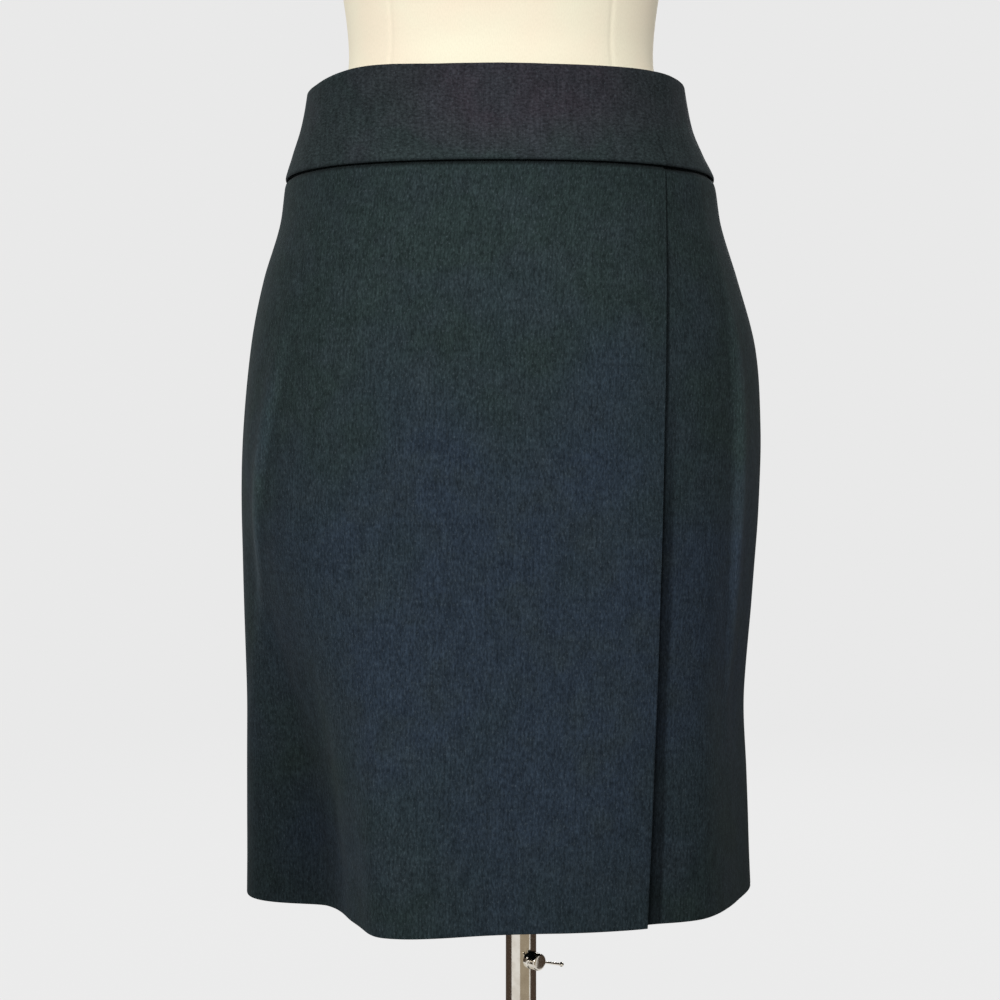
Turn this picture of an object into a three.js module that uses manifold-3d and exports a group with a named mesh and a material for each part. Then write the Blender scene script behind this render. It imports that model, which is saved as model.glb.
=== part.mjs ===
// Knee-length pencil skirt with a wide waistband and an overlapped front, on a dress form and its stand.
// Millimetres, +Z up. The origin is the centre of the base's underside, on the stand's pole.
// The front of the skirt faces -Y. Left and right are those of somebody who looks at the front.
import * as THREE from 'three';
import { mergeVertices } from 'three/addons/utils/BufferGeometryUtils.js';
import Module from 'manifold-3d';

const wasm = await Module();
wasm.setup();

// Driving dimensions of the skirt
const HEM = 415;
const BAND_SEAM = 943;
const BAND_TOP = 1011.5;
const CLOTH = 1.6;
const BAND_CLOTH = 2.5;
const SEAM_GAP = 0.3;
const BAND_PROUD = 1;
const SEAM_DIP = 0.9;
const SEAM_DIP_HEIGHT = 7;
const BAND_ROLL = 1.2;
const BAND_ROLL_HEIGHT = 3;
const BAND_PROUD_TOP = 960;
const OVERLAP_GAP_TOP = 0.5;
const OVERLAP_GAP_HEM = 4.4;

// Driving dimensions of the dress form and the stand
const FORM_OFFSET_X = -15;
const FORM_BOTTOM = 715;
const FORM_TOP = 1480;
const BOTTOM_EDGE = 6;
const REST_GAP = 0.4;
const REST_SOFTNESS = 1.2;
const ROD_RADIUS = 9.5;
const ROD_BOTTOM = 150;
const ROD_TOP = 838;
const TUBE_RADIUS = 11.4;
const TUBE_BORE_RADIUS = 9.9;
const TUBE_TOP = 392;
const BASE_RADIUS = 175;
const BASE_EDGE = 6;
const BASE_THICKNESS = 9;
const BASE_CHAMFER = 1;
const BASE_SLOPE = 3;
const BASE_SIDES = 48;
const HUB_RADIUS = 27;
const HUB_COLLAR = 4;
const HUB_TAPER = 8;
const HUB_EDGE = 3;
const HUB_TOP = 40;
const PART_GAP = 0.3;
const ROUND_SIDES = 24;
const SMALL_SIDES = 16;
const FINE_SIDES = 12;
const CUT_PAST = 5;

// Driving dimensions of the clamp screw and its sliding bar
const CLAMP_HEIGHT = 365;
const CLAMP_TURN = -50;
const BOSS_RADIUS = 6.5;
const BOSS_ROOT = 2;
const BOSS_REACH = 13.6;
const SCREW_RADIUS = 3;
const SCREW_TIP = 9.9;
const SCREW_PLAY = 0.4;
const HEAD_RADIUS = 6.2;
const HEAD_CHAMFER = 0.8;
const HEAD_ROUND = 1.4;
const HEAD_END = 21.8;
const BAR_REACH = 17.8;
const BAR_RADIUS = 1;
const BAR_BALL_RADIUS = 1.8;
const BAR_DROP = 15.8;
const BAR_LOW_END = 25.7;

// Driving dimensions of the zip
const ZIP_BOTTOM = 790;
const ZIP_TOP = 1005;
const SLIDER_HEIGHT = 1000;
const SLIDER_WIDTH = 5;
const SLIDER_LENGTH = 9;
const PULL_LENGTH = 24;
const PULL_WIDTH = 5.6;
const PULL_THICKNESS = 1.2;
const PULL_END_GAP = 1.3;
const PULL_NECK = 2;
const SLIDER_SEAT = 0.6;
const SLIDER_FACE = 2;
const PIN_OUT = 3.9;
const PIN_RADIUS = 0.5;
const EYE_RADIUS = 1.5;
const EYE_BORE = 0.85;
const EYE_HALF = 1.2;
const CHEEK_WIDTH = 0.8;
const CHEEK_HALF_LENGTH = 1.2;
const CHEEK_SINK = 0.4;
const CHEEK_PAST_PIN = 1;

/** Turns a short table into a list of rows with named columns. */
function table(columns, rows) {
  return rows.map((row) => Object.fromEntries(columns.map((column, i) => [column, row[i]])));
}

// The skirt's outer outline at each height: half-widths, depths to the front and back of its centre,
// where that centre lies in depth, and how square the outline is (2 is an ellipse).
const SKIRT_SECTIONS = table(
  ['height', 'left', 'right', 'front', 'back', 'centre', 'squareness'],
  [
    [415, 191, 192.5, 133, 106, 15, 2.37],
    [500, 191, 189, 137, 108, 15, 2.3],
    [560, 191.7, 186, 139, 112, 15, 2.25],
    [630, 194, 190.5, 141, 118, 14, 2.25],
    [700, 195, 194, 143, 124, 12, 2.25],
    [760, 192.8, 195, 142, 127, 10, 2.25],
    [820, 186.8, 190, 138, 124, 8, 2.3],
    [870, 177, 176.3, 132, 116, 7, 2.35],
    [910, 164.7, 164, 123, 108, 6, 2.4],
    [943, 160, 158.5, 114, 101, 5, 2.45],
    [960, 154.5, 150, 108, 97, 3, 2.5],
    [980, 148.2, 141.5, 102, 92, 1, 2.6],
    [1013, 142.5, 135.5, 99, 88, 0, 2.8],
  ],
);

// Folds of the hanging cloth, each a soft trough (depth below 0) or ridge that grows from its top to the hem.
// Angles are in degrees from the front, and turn towards +X.
const FOLDS = table(
  ['angleAtHem', 'angleAtTop', 'spreadBefore', 'spreadAfter', 'top', 'depth'],
  [
    [-64, -74, 6.3, 13.8, 760, -43],
    [-29, -32, 6.5, 13.5, 700, 19],
    [74, 67, 11.5, 9.5, 900, -12],
    [128, 122, 13, 16, 680, -10],
    [158, 160, 14, 12, 600, 6],
    [-140, -134, 15, 12, 650, -12],
  ],
);

// How far the waistband's top edge rises or sinks, on each construction line.
const TOP_EDGE = table(
  ['line', 'rise'],
  [
    [-180, -4],
    [-130, -5],
    [-90, -6.5],
    [-70, -6],
    [-50, 0.5],
    [-25, 0],
    [0, 0.3],
    [25, -0.5],
    [50, -0.5],
    [70, -2],
    [90, -4],
    [130, -4.5],
    [180, -4],
  ],
);

// Where the free edge of the front overlap runs: its distance to the right of the skirt's middle.
const OVERLAP_EDGE = table(
  ['height', 'across'],
  [
    [415, 101],
    [586, 108],
    [757, 112],
    [943, 115],
    [1013, 112],
  ],
);

// The dress form's own outline at each height, with the same columns as the skirt's.
const FORM_SECTIONS = table(
  ['height', 'width', 'front', 'back', 'centre', 'squareness'],
  [
    [715, 160, 110, 108, 12, 2.2],
    [760, 168, 118, 112, 10, 2.25],
    [800, 173, 124, 114, 8.5, 2.25],
    [835, 177, 130, 116, 7.5, 2.3],
    [865, 179, 134, 118, 7, 2.35],
    [890, 178, 134, 118, 6.5, 2.4],
    [915, 166, 124, 108, 6, 2.4],
    [932, 156, 113, 100, 5, 2.4],
    [965, 140, 99, 88, 2.5, 2.4],
    [990, 126.5, 90, 82, 0.7, 2.35],
    [1015, 116, 85, 79, 0, 2.3],
    [1040, 113.5, 84, 78, 0, 2.25],
    [1082, 118, 90, 80, 0, 2.2],
    [1120, 126, 100, 84, 0, 2.2],
    [1165, 137, 114, 89, 0, 2.15],
    [1190, 142, 122, 92, 0, 2.1],
    [1215, 146, 125, 95, 0.5, 2.1],
    [1240, 150, 121, 97, 1.5, 2.15],
    [1275, 156, 108, 98, 3, 2.2],
    [1330, 169, 89, 93, 6, 2.3],
    [1362, 174, 78, 86, 8, 2.3],
    [1385, 168, 71, 80, 9, 2.25],
    [1402, 150, 66, 74, 9, 2.15],
    [1416, 122, 62, 69, 8, 2.05],
    [1428, 93, 59, 64, 7, 2],
    [1440, 70, 56, 58, 5, 2],
    [1456, 59, 54, 54, 3, 2],
    [1472, 55, 51, 51, 1, 2],
    [1480, 49, 45, 45, 0, 2],
  ],
);

const MATERIALS = {
  wool: new THREE.MeshStandardMaterial({ color: 0x2d353a, roughness: 0.92, metalness: 0 }),
  formCover: new THREE.MeshStandardMaterial({ color: 0xfcf4d7, roughness: 0.9, metalness: 0 }),
  chrome: new THREE.MeshStandardMaterial({ color: 0xd8d4cc, roughness: 0.15, metalness: 1 }),
  basePaint: new THREE.MeshStandardMaterial({ color: 0x2a2a2b, roughness: 0.45, metalness: 0.1 }),
  zipTape: new THREE.MeshStandardMaterial({ color: 0x20262b, roughness: 0.85, metalness: 0 }),
  zipMetal: new THREE.MeshStandardMaterial({ color: 0x2b3035, roughness: 0.4, metalness: 0.6 }),
};

const radians = THREE.MathUtils.degToRad;
const smoothstep = THREE.MathUtils.smoothstep;

/** The other columns of a table at a value of its first column, on a smooth curve through the rows. */
function valuesAt(rows, place) {
  const last = rows.length - 1;
  const [key, ...columns] = Object.keys(rows[0]);
  const at = THREE.MathUtils.clamp(place, rows[0][key], rows[last][key]);
  let i = 0;
  while (i < last - 1 && rows[i + 1][key] <= at) {
    i += 1;
  }
  const step = rows[i + 1][key] - rows[i][key];
  const t = (at - rows[i][key]) / step;
  const before = rows[Math.max(i - 1, 0)];
  const after = rows[Math.min(i + 2, last)];
  const values = {};
  for (const column of columns) {
    const low = rows[i][column];
    const high = rows[i + 1][column];
    const slopeLow = (high - before[column]) / (rows[i + 1][key] - before[key]);
    const slopeHigh = (after[column] - low) / (after[key] - rows[i][key]);
    values[column] = (2 * t ** 3 - 3 * t ** 2 + 1) * low + (t ** 3 - 2 * t ** 2 + t) * step * slopeLow
      + (3 * t ** 2 - 2 * t ** 3) * high + (t ** 3 - t ** 2) * step * slopeHigh;
  }
  return values;
}

/** Distance from an outline's centre to the outline, in a direction in radians from the front. */
function outlineRadius(section, angle) {
  const across = Math.sin(angle);
  const ahead = Math.cos(angle);
  const halfWidth = across > 0 ? section.right : section.left;
  const depth = ahead > 0 ? section.front : section.back;
  const n = section.squareness;
  return (Math.abs(across / halfWidth) ** n + Math.abs(ahead / depth) ** n) ** (-1 / n);
}

/** How far the folds move the cloth out at an angle in degrees and a height. */
function foldOffset(degrees, height) {
  let offset = 0;
  for (const fold of FOLDS) {
    const growth = 1 - smoothstep(height, HEM, fold.top);
    const middle = THREE.MathUtils.lerp(fold.angleAtTop, fold.angleAtHem, growth);
    const away = THREE.MathUtils.euclideanModulo(degrees - middle + 180, 360) - 180;
    const spread = away < 0 ? fold.spreadBefore : fold.spreadAfter;
    offset += fold.depth * growth * Math.exp(-0.5 * (away / spread) ** 2);
  }
  return offset;
}

/** A point on the skirt's outer face. */
function facePoint(degrees, height) {
  const section = valuesAt(SKIRT_SECTIONS, height);
  const angle = radians(degrees);
  const radius = outlineRadius(section, angle) + foldOffset(degrees, height);
  return new THREE.Vector3(radius * Math.sin(angle), section.centre - radius * Math.cos(angle), height);
}

const PROBE_TURN = 0.5;
const PROBE_RISE = 1;

/** A point at a depth under the skirt's outer face; a depth below 0 lies outside it. */
function skirtPoint(degrees, height, depth) {
  const point = facePoint(degrees, height);
  const alongRing = facePoint(degrees + PROBE_TURN, height).sub(facePoint(degrees - PROBE_TURN, height));
  const upward = facePoint(degrees, height + PROBE_RISE).sub(facePoint(degrees, height - PROBE_RISE));
  const outward = alongRing.cross(upward).setZ(0).normalize();
  return point.addScaledVector(outward, -depth);
}

const EDGE_SEARCH = { from: 10, to: 80, halvings: 24 };

/** The angle, in degrees, at which the overlap's free edge lies at a height. */
function overlapAngle(height) {
  const across = valuesAt(OVERLAP_EDGE, height).across;
  let low = EDGE_SEARCH.from;
  let high = EDGE_SEARCH.to;
  for (let i = 0; i < EDGE_SEARCH.halvings; i += 1) {
    const middle = (low + high) / 2;
    if (facePoint(middle, height).x < across) {
      low = middle;
    } else {
      high = middle;
    }
  }
  return (low + high) / 2;
}

const OVERLAP_LINE = 45;
const OVERLAP_REACH = 40;
const overlapAngles = new Map();

/** The angle of a construction line: the lines bend so that line 45 runs down the overlap's edge. */
function lineAngle(line, height) {
  if (!overlapAngles.has(height)) {
    overlapAngles.set(height, overlapAngle(Math.min(height, BAND_SEAM)));
  }
  const pull = Math.max(0, 1 - Math.abs(line - OVERLAP_LINE) / OVERLAP_REACH);
  return line + (overlapAngles.get(height) - OVERLAP_LINE) * pull;
}

// Lines and heights that all the cloth and the form share, so that their facets lie side by side
const LINE_STEP = 5;
const EXTRA_LINES = [-67.5, -62.5, -57.5, -52.5];
const BODY_TOP = BAND_SEAM - SEAM_GAP / 2;
const BAND_BOTTOM = BAND_SEAM + SEAM_GAP / 2;
const BODY_ROWS = [HEM, 424, 445, 475, 510, 548, 588, 630, 672, 716, 760, 800, 835, 865, 890, 915, 932, 939,
  BODY_TOP];
const BAND_ROWS = [BAND_BOTTOM, BAND_SEAM + BAND_ROLL_HEIGHT, 965, 990, 1008, BAND_TOP];
const FORM_ROWS = [FORM_BOTTOM, 719, 735, 760, 800, 835, 865, 890, 915, 932, BODY_TOP, 965, 990, 1015, 1040,
  1082, 1120, 1165, 1190, 1215, 1240, 1275, 1330, 1362, 1385, 1402, 1416, 1428, 1440, 1456, 1472, FORM_TOP];

/** The construction lines from one to another, both included. */
function linesBetween(first, last) {
  const lines = [first];
  const start = Math.floor(first / LINE_STEP) + 1;
  for (let i = start; i * LINE_STEP < last - 0.5; i += 1) {
    lines.push(i * LINE_STEP);
  }
  lines.push(last);
  lines.push(...EXTRA_LINES.filter((line) => line > first && line < last));
  return lines.sort((a, b) => a - b);
}

/** A closed wall between two faces, each given as a function of line and row. */
function wall(lines, rows, outerPoint, innerPoint) {
  const across = lines.length;
  const positions = [];
  for (const face of [outerPoint, innerPoint]) {
    for (const row of rows) {
      for (const line of lines) {
        positions.push(...face(line, row).toArray());
      }
    }
  }
  const inner = across * rows.length;
  const indices = [];
  const quad = (a, b, c, d) => indices.push(a, b, c, a, c, d);
  for (let j = 0; j < rows.length - 1; j += 1) {
    for (let i = 0; i < across - 1; i += 1) {
      const a = j * across + i;
      quad(a, a + 1, a + across + 1, a + across);
      quad(inner + a + 1, inner + a, inner + a + across, inner + a + across + 1);
    }
  }
  const edge = (from, to) => quad(to, from, inner + from, inner + to);
  const top = (rows.length - 1) * across;
  for (let i = 0; i < across - 1; i += 1) {
    edge(i, i + 1);
    edge(top + i + 1, top + i);
  }
  for (let j = 0; j < rows.length - 1; j += 1) {
    edge((j + 1) * across - 1, (j + 2) * across - 1);
    edge((j + 1) * across, j * across);
  }
  return indexedGeometry(positions, indices);
}

/** A closed body through rings at each row, with flat ends. */
function loft(lines, rows, ringPoint) {
  const around = lines.length;
  const positions = rows.flatMap((row) => lines.flatMap((line) => ringPoint(line, row).toArray()));
  const indices = [];
  for (let j = 0; j < rows.length - 1; j += 1) {
    for (let i = 0; i < around; i += 1) {
      const a = j * around + i;
      const b = j * around + (i + 1) % around;
      indices.push(a, b, b + around, a, b + around, a + around);
    }
  }
  for (const [row, flip] of [[0, true], [rows.length - 1, false]]) {
    const centre = positions.length / 3;
    const middle = ringPoint(lines[0], rows[row]).setX(0);
    positions.push(middle.x, valuesAt(FORM_SECTIONS, rows[row]).centre, middle.z);
    for (let i = 0; i < around; i += 1) {
      const a = row * around + i;
      const b = row * around + (i + 1) % around;
      indices.push(centre, flip ? b : a, flip ? a : b);
    }
  }
  return indexedGeometry(positions, indices);
}

function indexedGeometry(positions, indices) {
  const geometry = new THREE.BufferGeometry();
  geometry.setAttribute('position', new THREE.Float32BufferAttribute(positions, 3));
  geometry.setIndex(indices);
  geometry.computeVertexNormals();
  return geometry;
}

/** Turns a closed geometry into a solid that can be joined and cut. */
function toSolid(geometry) {
  const bare = geometry.clone();
  bare.deleteAttribute('normal');
  bare.deleteAttribute('uv');
  const merged = mergeVertices(bare, 1e-4);
  return new wasm.Manifold(new wasm.Mesh({
    numProp: 3,
    vertProperties: Float32Array.from(merged.attributes.position.array),
    triVerts: Uint32Array.from(merged.index.array),
  }));
}

function toGeometry(solid) {
  const mesh = solid.getMesh();
  return indexedGeometry(Array.from(mesh.vertProperties), Array.from(mesh.triVerts));
}

/** A turned shape about +Z; the profile holds [radius, height] pairs from its lowest point to its highest. */
function turned(profile, sides) {
  const points = profile.map(([radius, height]) => new THREE.Vector2(radius, height));
  return new THREE.LatheGeometry(points, sides).rotateX(Math.PI / 2);
}

/** A solid round bar about +Z. */
function roundBar(radius, low, high, sides) {
  return turned([[0, low], [radius, low], [radius, high], [0, high]], sides);
}

function mesh(name, geometry, material) {
  const piece = new THREE.Mesh(geometry, material);
  piece.name = name;
  return piece;
}

/** Height of a band row on a line: the top edge rises and sinks round the waist. */
function bandHeight(line, row) {
  return row + valuesAt(TOP_EDGE, line).rise * smoothstep(row, BAND_SEAM, BAND_TOP);
}

/** The cloth dips into the ditch of the band seam. */
function bodyDip(height) {
  return SEAM_DIP * smoothstep(height, BAND_SEAM - SEAM_DIP_HEIGHT, BAND_SEAM);
}

/** How much of the band's lower edge is still rolled under: 1 at the seam, 0 above the roll. */
function rolled(row) {
  return 1 - smoothstep(row, BAND_SEAM, BAND_SEAM + BAND_ROLL_HEIGHT);
}

/** The band stands a little proud of the skirt, with a rolled lower edge. */
function bandDepth(row) {
  return BAND_ROLL * rolled(row) - BAND_PROUD * (1 - smoothstep(row, BAND_PROUD_TOP, BAND_TOP));
}

const UNDERLAP_RETURN = [OVERLAP_LINE + 1, OVERLAP_LINE + 14];

/** Depth of the under panel's outer face: behind the overlap it leaves a gap that widens to the hem. */
function underDepth(line, height) {
  const down = 1 - smoothstep(height, HEM, BAND_SEAM);
  const behind = CLOTH + THREE.MathUtils.lerp(OVERLAP_GAP_TOP, OVERLAP_GAP_HEM, down);
  return behind * (1 - smoothstep(line, ...UNDERLAP_RETURN));
}

function clothPoint(line, height, depth) {
  return skirtPoint(lineAngle(line, height), height, depth);
}

/** A body panel of one cloth wall, between two lines. */
function bodyPanel(name, first, last, faceDepth) {
  const face = (line, row) => clothPoint(line, row, faceDepth(line, row) + bodyDip(row));
  const back = (line, row) => clothPoint(line, row, faceDepth(line, row) + bodyDip(row) + CLOTH);
  return mesh(name, wall(linesBetween(first, last), BODY_ROWS, face, back), MATERIALS.wool);
}

/** A piece of the waistband, between two lines. */
function bandPiece(name, first, last) {
  const at = (line, row, extra) => clothPoint(line, bandHeight(line, row), bandDepth(row) + extra);
  const face = (line, row) => at(line, row, 0);
  const back = (line, row) => at(line, row, BAND_CLOTH - BAND_ROLL * rolled(row));
  return mesh(name, wall(linesBetween(first, last), BAND_ROWS, face, back), MATERIALS.wool);
}

const SIDE_SEAM_RADIUS = 150;
const BACK_SEAM_RADIUS = 95;
const SEAM_HALF = THREE.MathUtils.radToDeg(SEAM_GAP / 2 / SIDE_SEAM_RADIUS);
const BACK_SEAM_HALF = THREE.MathUtils.radToDeg(SEAM_GAP / 2 / BACK_SEAM_RADIUS);
const UNDERLAP_LINE = 15;

function skirt() {
  const group = new THREE.Group();
  const flat = () => 0;
  group.add(
    bodyPanel('front_panel', -90 + SEAM_HALF, OVERLAP_LINE, flat),
    bodyPanel('front_under_panel', UNDERLAP_LINE, 90 - SEAM_HALF, underDepth),
    bodyPanel('back_right_panel', 90 + SEAM_HALF, 180 - BACK_SEAM_HALF, flat),
    bodyPanel('back_left_panel', -180 + BACK_SEAM_HALF, -90 - SEAM_HALF, flat),
    bandPiece('waistband_front', -90 + SEAM_HALF, 90 - SEAM_HALF),
    bandPiece('waistband_back_right', 90 + SEAM_HALF, 180 - BACK_SEAM_HALF),
    bandPiece('waistband_back_left', -180 + BACK_SEAM_HALF, -90 - SEAM_HALF),
  );
  return group;
}

const ZIP_TAPE_DEPTH = BAND_CLOTH + SEAM_GAP + 0.1;
const ZIP_TAPE_THICKNESS = 1;
const ZIP_TAPE_HALF_LINES = 6;
const ZIP_TEETH_HALF_LINES = 2;

/** The zip's tapes and closed teeth, as one strip behind the centre back seam. */
function zipTape() {
  const edges = [-ZIP_TAPE_HALF_LINES, -ZIP_TEETH_HALF_LINES, ZIP_TEETH_HALF_LINES, ZIP_TAPE_HALF_LINES];
  const lines = edges.map((line) => 180 + line);
  const between = (row) => row > ZIP_BOTTOM && row < ZIP_TOP && row !== BODY_TOP;
  const rows = [ZIP_BOTTOM, ...BODY_ROWS.filter(between), ...BAND_ROWS.filter(between), ZIP_TOP];
  const at = (depth) => (line, row) => skirtPoint(line, row, depth);
  const strip = wall(lines, rows, at(ZIP_TAPE_DEPTH), at(ZIP_TAPE_DEPTH + ZIP_TAPE_THICKNESS));
  return mesh('zip_tape', strip, MATERIALS.zipTape);
}

function box(low, high) {
  const size = high.map((value, i) => value - low[i]);
  const geometry = new THREE.BoxGeometry(...size);
  return geometry.translate(...low.map((value, i) => value + size[i] / 2));
}

/** A round bar along X through a point at (0, out, 0). */
function crossBar(radius, half, out) {
  return roundBar(radius, -half, half, FINE_SIDES).rotateY(Math.PI / 2).translate(0, out, 0);
}

/** The zip slider at the top of the centre back, with two cheeks and a pin for its pull tab. */
function zipSlider() {
  const half = SLIDER_WIDTH / 2;
  const cheekIn = EYE_HALF + PART_GAP;
  let solid = toSolid(box([-half, SLIDER_SEAT, -SLIDER_LENGTH / 2], [half, SLIDER_FACE, SLIDER_LENGTH / 2]));
  for (const side of [-1, 1]) {
    const ends = [side * cheekIn, side * (cheekIn + CHEEK_WIDTH)].sort((a, b) => a - b);
    const low = [ends[0], SLIDER_FACE - CHEEK_SINK, -CHEEK_HALF_LENGTH];
    const high = [ends[1], PIN_OUT + CHEEK_PAST_PIN, CHEEK_HALF_LENGTH];
    solid = solid.add(toSolid(box(low, high)));
  }
  solid = solid.add(toSolid(crossBar(PIN_RADIUS, cheekIn + CHEEK_WIDTH / 2, PIN_OUT)));
  return mesh('zip_slider', toGeometry(solid), MATERIALS.zipMetal);
}

/** The pull tab: an eye round the slider's pin and a blade that widens to a round end. */
function zipPull() {
  const neck = EYE_HALF;
  const round = PULL_WIDTH / 2;
  const outline = new THREE.Shape();
  outline.moveTo(-neck, 0);
  outline.lineTo(-neck, -PULL_NECK);
  outline.lineTo(-round, -PULL_LENGTH + round);
  outline.absarc(0, -PULL_LENGTH + round, round, Math.PI, Math.PI * 2, false);
  outline.lineTo(neck, -PULL_NECK);
  outline.lineTo(neck, 0);
  const blade = new THREE.ExtrudeGeometry(outline, {
    depth: PULL_THICKNESS, bevelEnabled: false, curveSegments: 8,
  });
  blade.translate(0, 0, -PULL_THICKNESS / 2).rotateX(Math.PI / 2);
  blade.translate(0, PIN_OUT, 0);
  const solid = toSolid(blade)
    .add(toSolid(crossBar(EYE_RADIUS, EYE_HALF, PIN_OUT)))
    .subtract(toSolid(crossBar(EYE_BORE, EYE_HALF + CUT_PAST, PIN_OUT)));
  return mesh('zip_pull', toGeometry(solid), MATERIALS.zipMetal);
}

/** The slider and its pull, on the cloth's outer face at the centre back. */
function zipHead() {
  const group = new THREE.Group();
  const backFace = (height) => skirtPoint(180, height, bandDepth(height));
  const seat = backFace(SLIDER_HEIGHT);
  const lean = Math.atan2(backFace(SLIDER_HEIGHT - PULL_LENGTH).y - seat.y, PULL_LENGTH);
  group.position.copy(seat);
  group.rotation.x = lean;
  const pull = new THREE.Group();
  const swing = Math.atan2(PIN_OUT - PULL_THICKNESS / 2 - PULL_END_GAP, PULL_LENGTH);
  pull.position.set(0, PIN_OUT, 0);
  pull.rotation.x = -swing;
  pull.add(zipPull().translateY(-PIN_OUT));
  group.add(zipSlider(), pull);
  return group;
}

/** The lesser of two numbers, with a soft step from one to the other. */
function softMin(a, b, softness) {
  return -softness * Math.log(Math.exp(-a / softness) + Math.exp(-b / softness));
}

// Lines over which the form gives way: to the under panel's start, and on each side of the zip
const UNDERLAP_START = [2, UNDERLAP_LINE - 1];
const ZIP_ROOM = [7, 20];

/** How deep under the skirt's face the form may reach: it stays clear of each layer of cloth there. */
function formDepth(line, height) {
  const layers = REST_GAP + (height < BAND_SEAM ? CLOTH + bodyDip(height) : BAND_CLOTH);
  const underlap = line > 0 && line < 90
    ? underDepth(line, height) * smoothstep(line, ...UNDERLAP_START)
    : 0;
  const fromZip = 180 - Math.abs(line);
  const zip = (ZIP_TAPE_DEPTH + ZIP_TAPE_THICKNESS - CLOTH) * (1 - smoothstep(fromZip, ...ZIP_ROOM));
  return layers + underlap + zip;
}

/** A point on the dress form: its own outline, held inside the skirt where it fills it. */
function formPoint(line, height) {
  const own = valuesAt(FORM_SECTIONS, height);
  const outline = { ...own, left: own.width, right: own.width };
  const degrees = lineAngle(line, height);
  let centre = own.centre;
  let angle = radians(degrees);
  let radius = outlineRadius(outline, angle);
  if (height <= BAND_TOP) {
    centre = valuesAt(SKIRT_SECTIONS, height).centre;
    const inside = skirtPoint(degrees, height, formDepth(line, height));
    angle = Math.atan2(inside.x, centre - inside.y);
    const room = Math.hypot(inside.x, inside.y - centre);
    radius = softMin(outlineRadius(outline, angle), room, REST_SOFTNESS);
  }
  if (height === FORM_BOTTOM) {
    radius -= BOTTOM_EDGE;
  }
  return new THREE.Vector3(radius * Math.sin(angle), centre - radius * Math.cos(angle), height);
}

/** The padded torso, from the hips to the neck, with a blind socket for the rod. */
function dressForm() {
  const body = toSolid(loft(linesBetween(-180, 175), FORM_ROWS, formPoint));
  const socket = roundBar(TUBE_BORE_RADIUS, FORM_BOTTOM - CUT_PAST, ROD_TOP + PART_GAP, ROUND_SIDES);
  socket.translate(-FORM_OFFSET_X, 0, 0);
  return mesh('form_body', toGeometry(body.subtract(toSolid(socket))), MATERIALS.formCover);
}

/** The foot: a low plate with a hub round the tube. */
function base() {
  const plate = turned([
    [0, 0],
    [BASE_RADIUS - BASE_CHAMFER, 0],
    [BASE_RADIUS, BASE_CHAMFER],
    [BASE_RADIUS, BASE_EDGE - BASE_SLOPE / 2],
    [BASE_RADIUS - BASE_SLOPE, BASE_EDGE],
    [BASE_RADIUS / 3, BASE_THICKNESS],
    [0, BASE_THICKNESS],
  ], BASE_SIDES);
  const bore = TUBE_RADIUS + PART_GAP;
  const low = BASE_THICKNESS + PART_GAP;
  const hub = turned([
    [bore, low],
    [HUB_RADIUS, low],
    [HUB_RADIUS, low + HUB_COLLAR],
    [HUB_RADIUS - HUB_TAPER, HUB_TOP - HUB_EDGE],
    [HUB_RADIUS - HUB_TAPER - HUB_EDGE, HUB_TOP],
    [bore, HUB_TOP],
    [bore, low],
  ], ROUND_SIDES);
  return [mesh('base_plate', plate, MATERIALS.basePaint), mesh('base_hub', hub, MATERIALS.chrome)];
}

/** A round bar along the clamp's own axis, turned to face the front and the right. */
function clampBar(radius, low, high, sides) {
  return roundBar(radius, low, high, sides).rotateY(Math.PI / 2).rotateZ(radians(CLAMP_TURN))
    .translate(0, 0, CLAMP_HEIGHT);
}

/** The fixed tube, with a bored boss for the clamp screw near its top. */
function standTube() {
  const low = BASE_THICKNESS + PART_GAP;
  const solid = toSolid(roundBar(TUBE_RADIUS, low, TUBE_TOP, ROUND_SIDES))
    .add(toSolid(clampBar(BOSS_RADIUS, BOSS_ROOT, BOSS_REACH, ROUND_SIDES)))
    .subtract(toSolid(roundBar(TUBE_BORE_RADIUS, low - CUT_PAST, TUBE_TOP + CUT_PAST, ROUND_SIDES)))
    .subtract(toSolid(clampBar(SCREW_RADIUS + SCREW_PLAY, BOSS_ROOT, BOSS_REACH + CUT_PAST, SMALL_SIDES)));
  return mesh('stand_tube', toGeometry(solid), MATERIALS.chrome);
}

/** The rod that carries the form and slides in the tube. */
function rod() {
  return mesh('rod', roundBar(ROD_RADIUS, ROD_BOTTOM, ROD_TOP, ROUND_SIDES), MATERIALS.chrome);
}

/** The clamp screw with its round head, cross-drilled for the bar. */
function clampScrew() {
  const headLow = BOSS_REACH + PART_GAP;
  const body = turned([
    [0, SCREW_TIP],
    [SCREW_RADIUS, SCREW_TIP],
    [SCREW_RADIUS, headLow],
    [HEAD_RADIUS - HEAD_CHAMFER, headLow],
    [HEAD_RADIUS, headLow + HEAD_CHAMFER],
    [HEAD_RADIUS, HEAD_END - HEAD_ROUND],
    [HEAD_RADIUS - HEAD_ROUND, HEAD_END],
    [0, HEAD_END],
  ], SMALL_SIDES);
  const cut = HEAD_RADIUS + CUT_PAST;
  const hole = roundBar(BAR_RADIUS + SCREW_PLAY, -cut, cut, FINE_SIDES).rotateX(Math.PI / 2)
    .rotateX(radians(-BAR_DROP)).translate(BAR_REACH, 0, 0);
  const screw = toSolid(body.rotateY(Math.PI / 2)).subtract(toSolid(hole));
  return mesh('clamp_screw', toGeometry(screw), MATERIALS.chrome);
}

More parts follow.
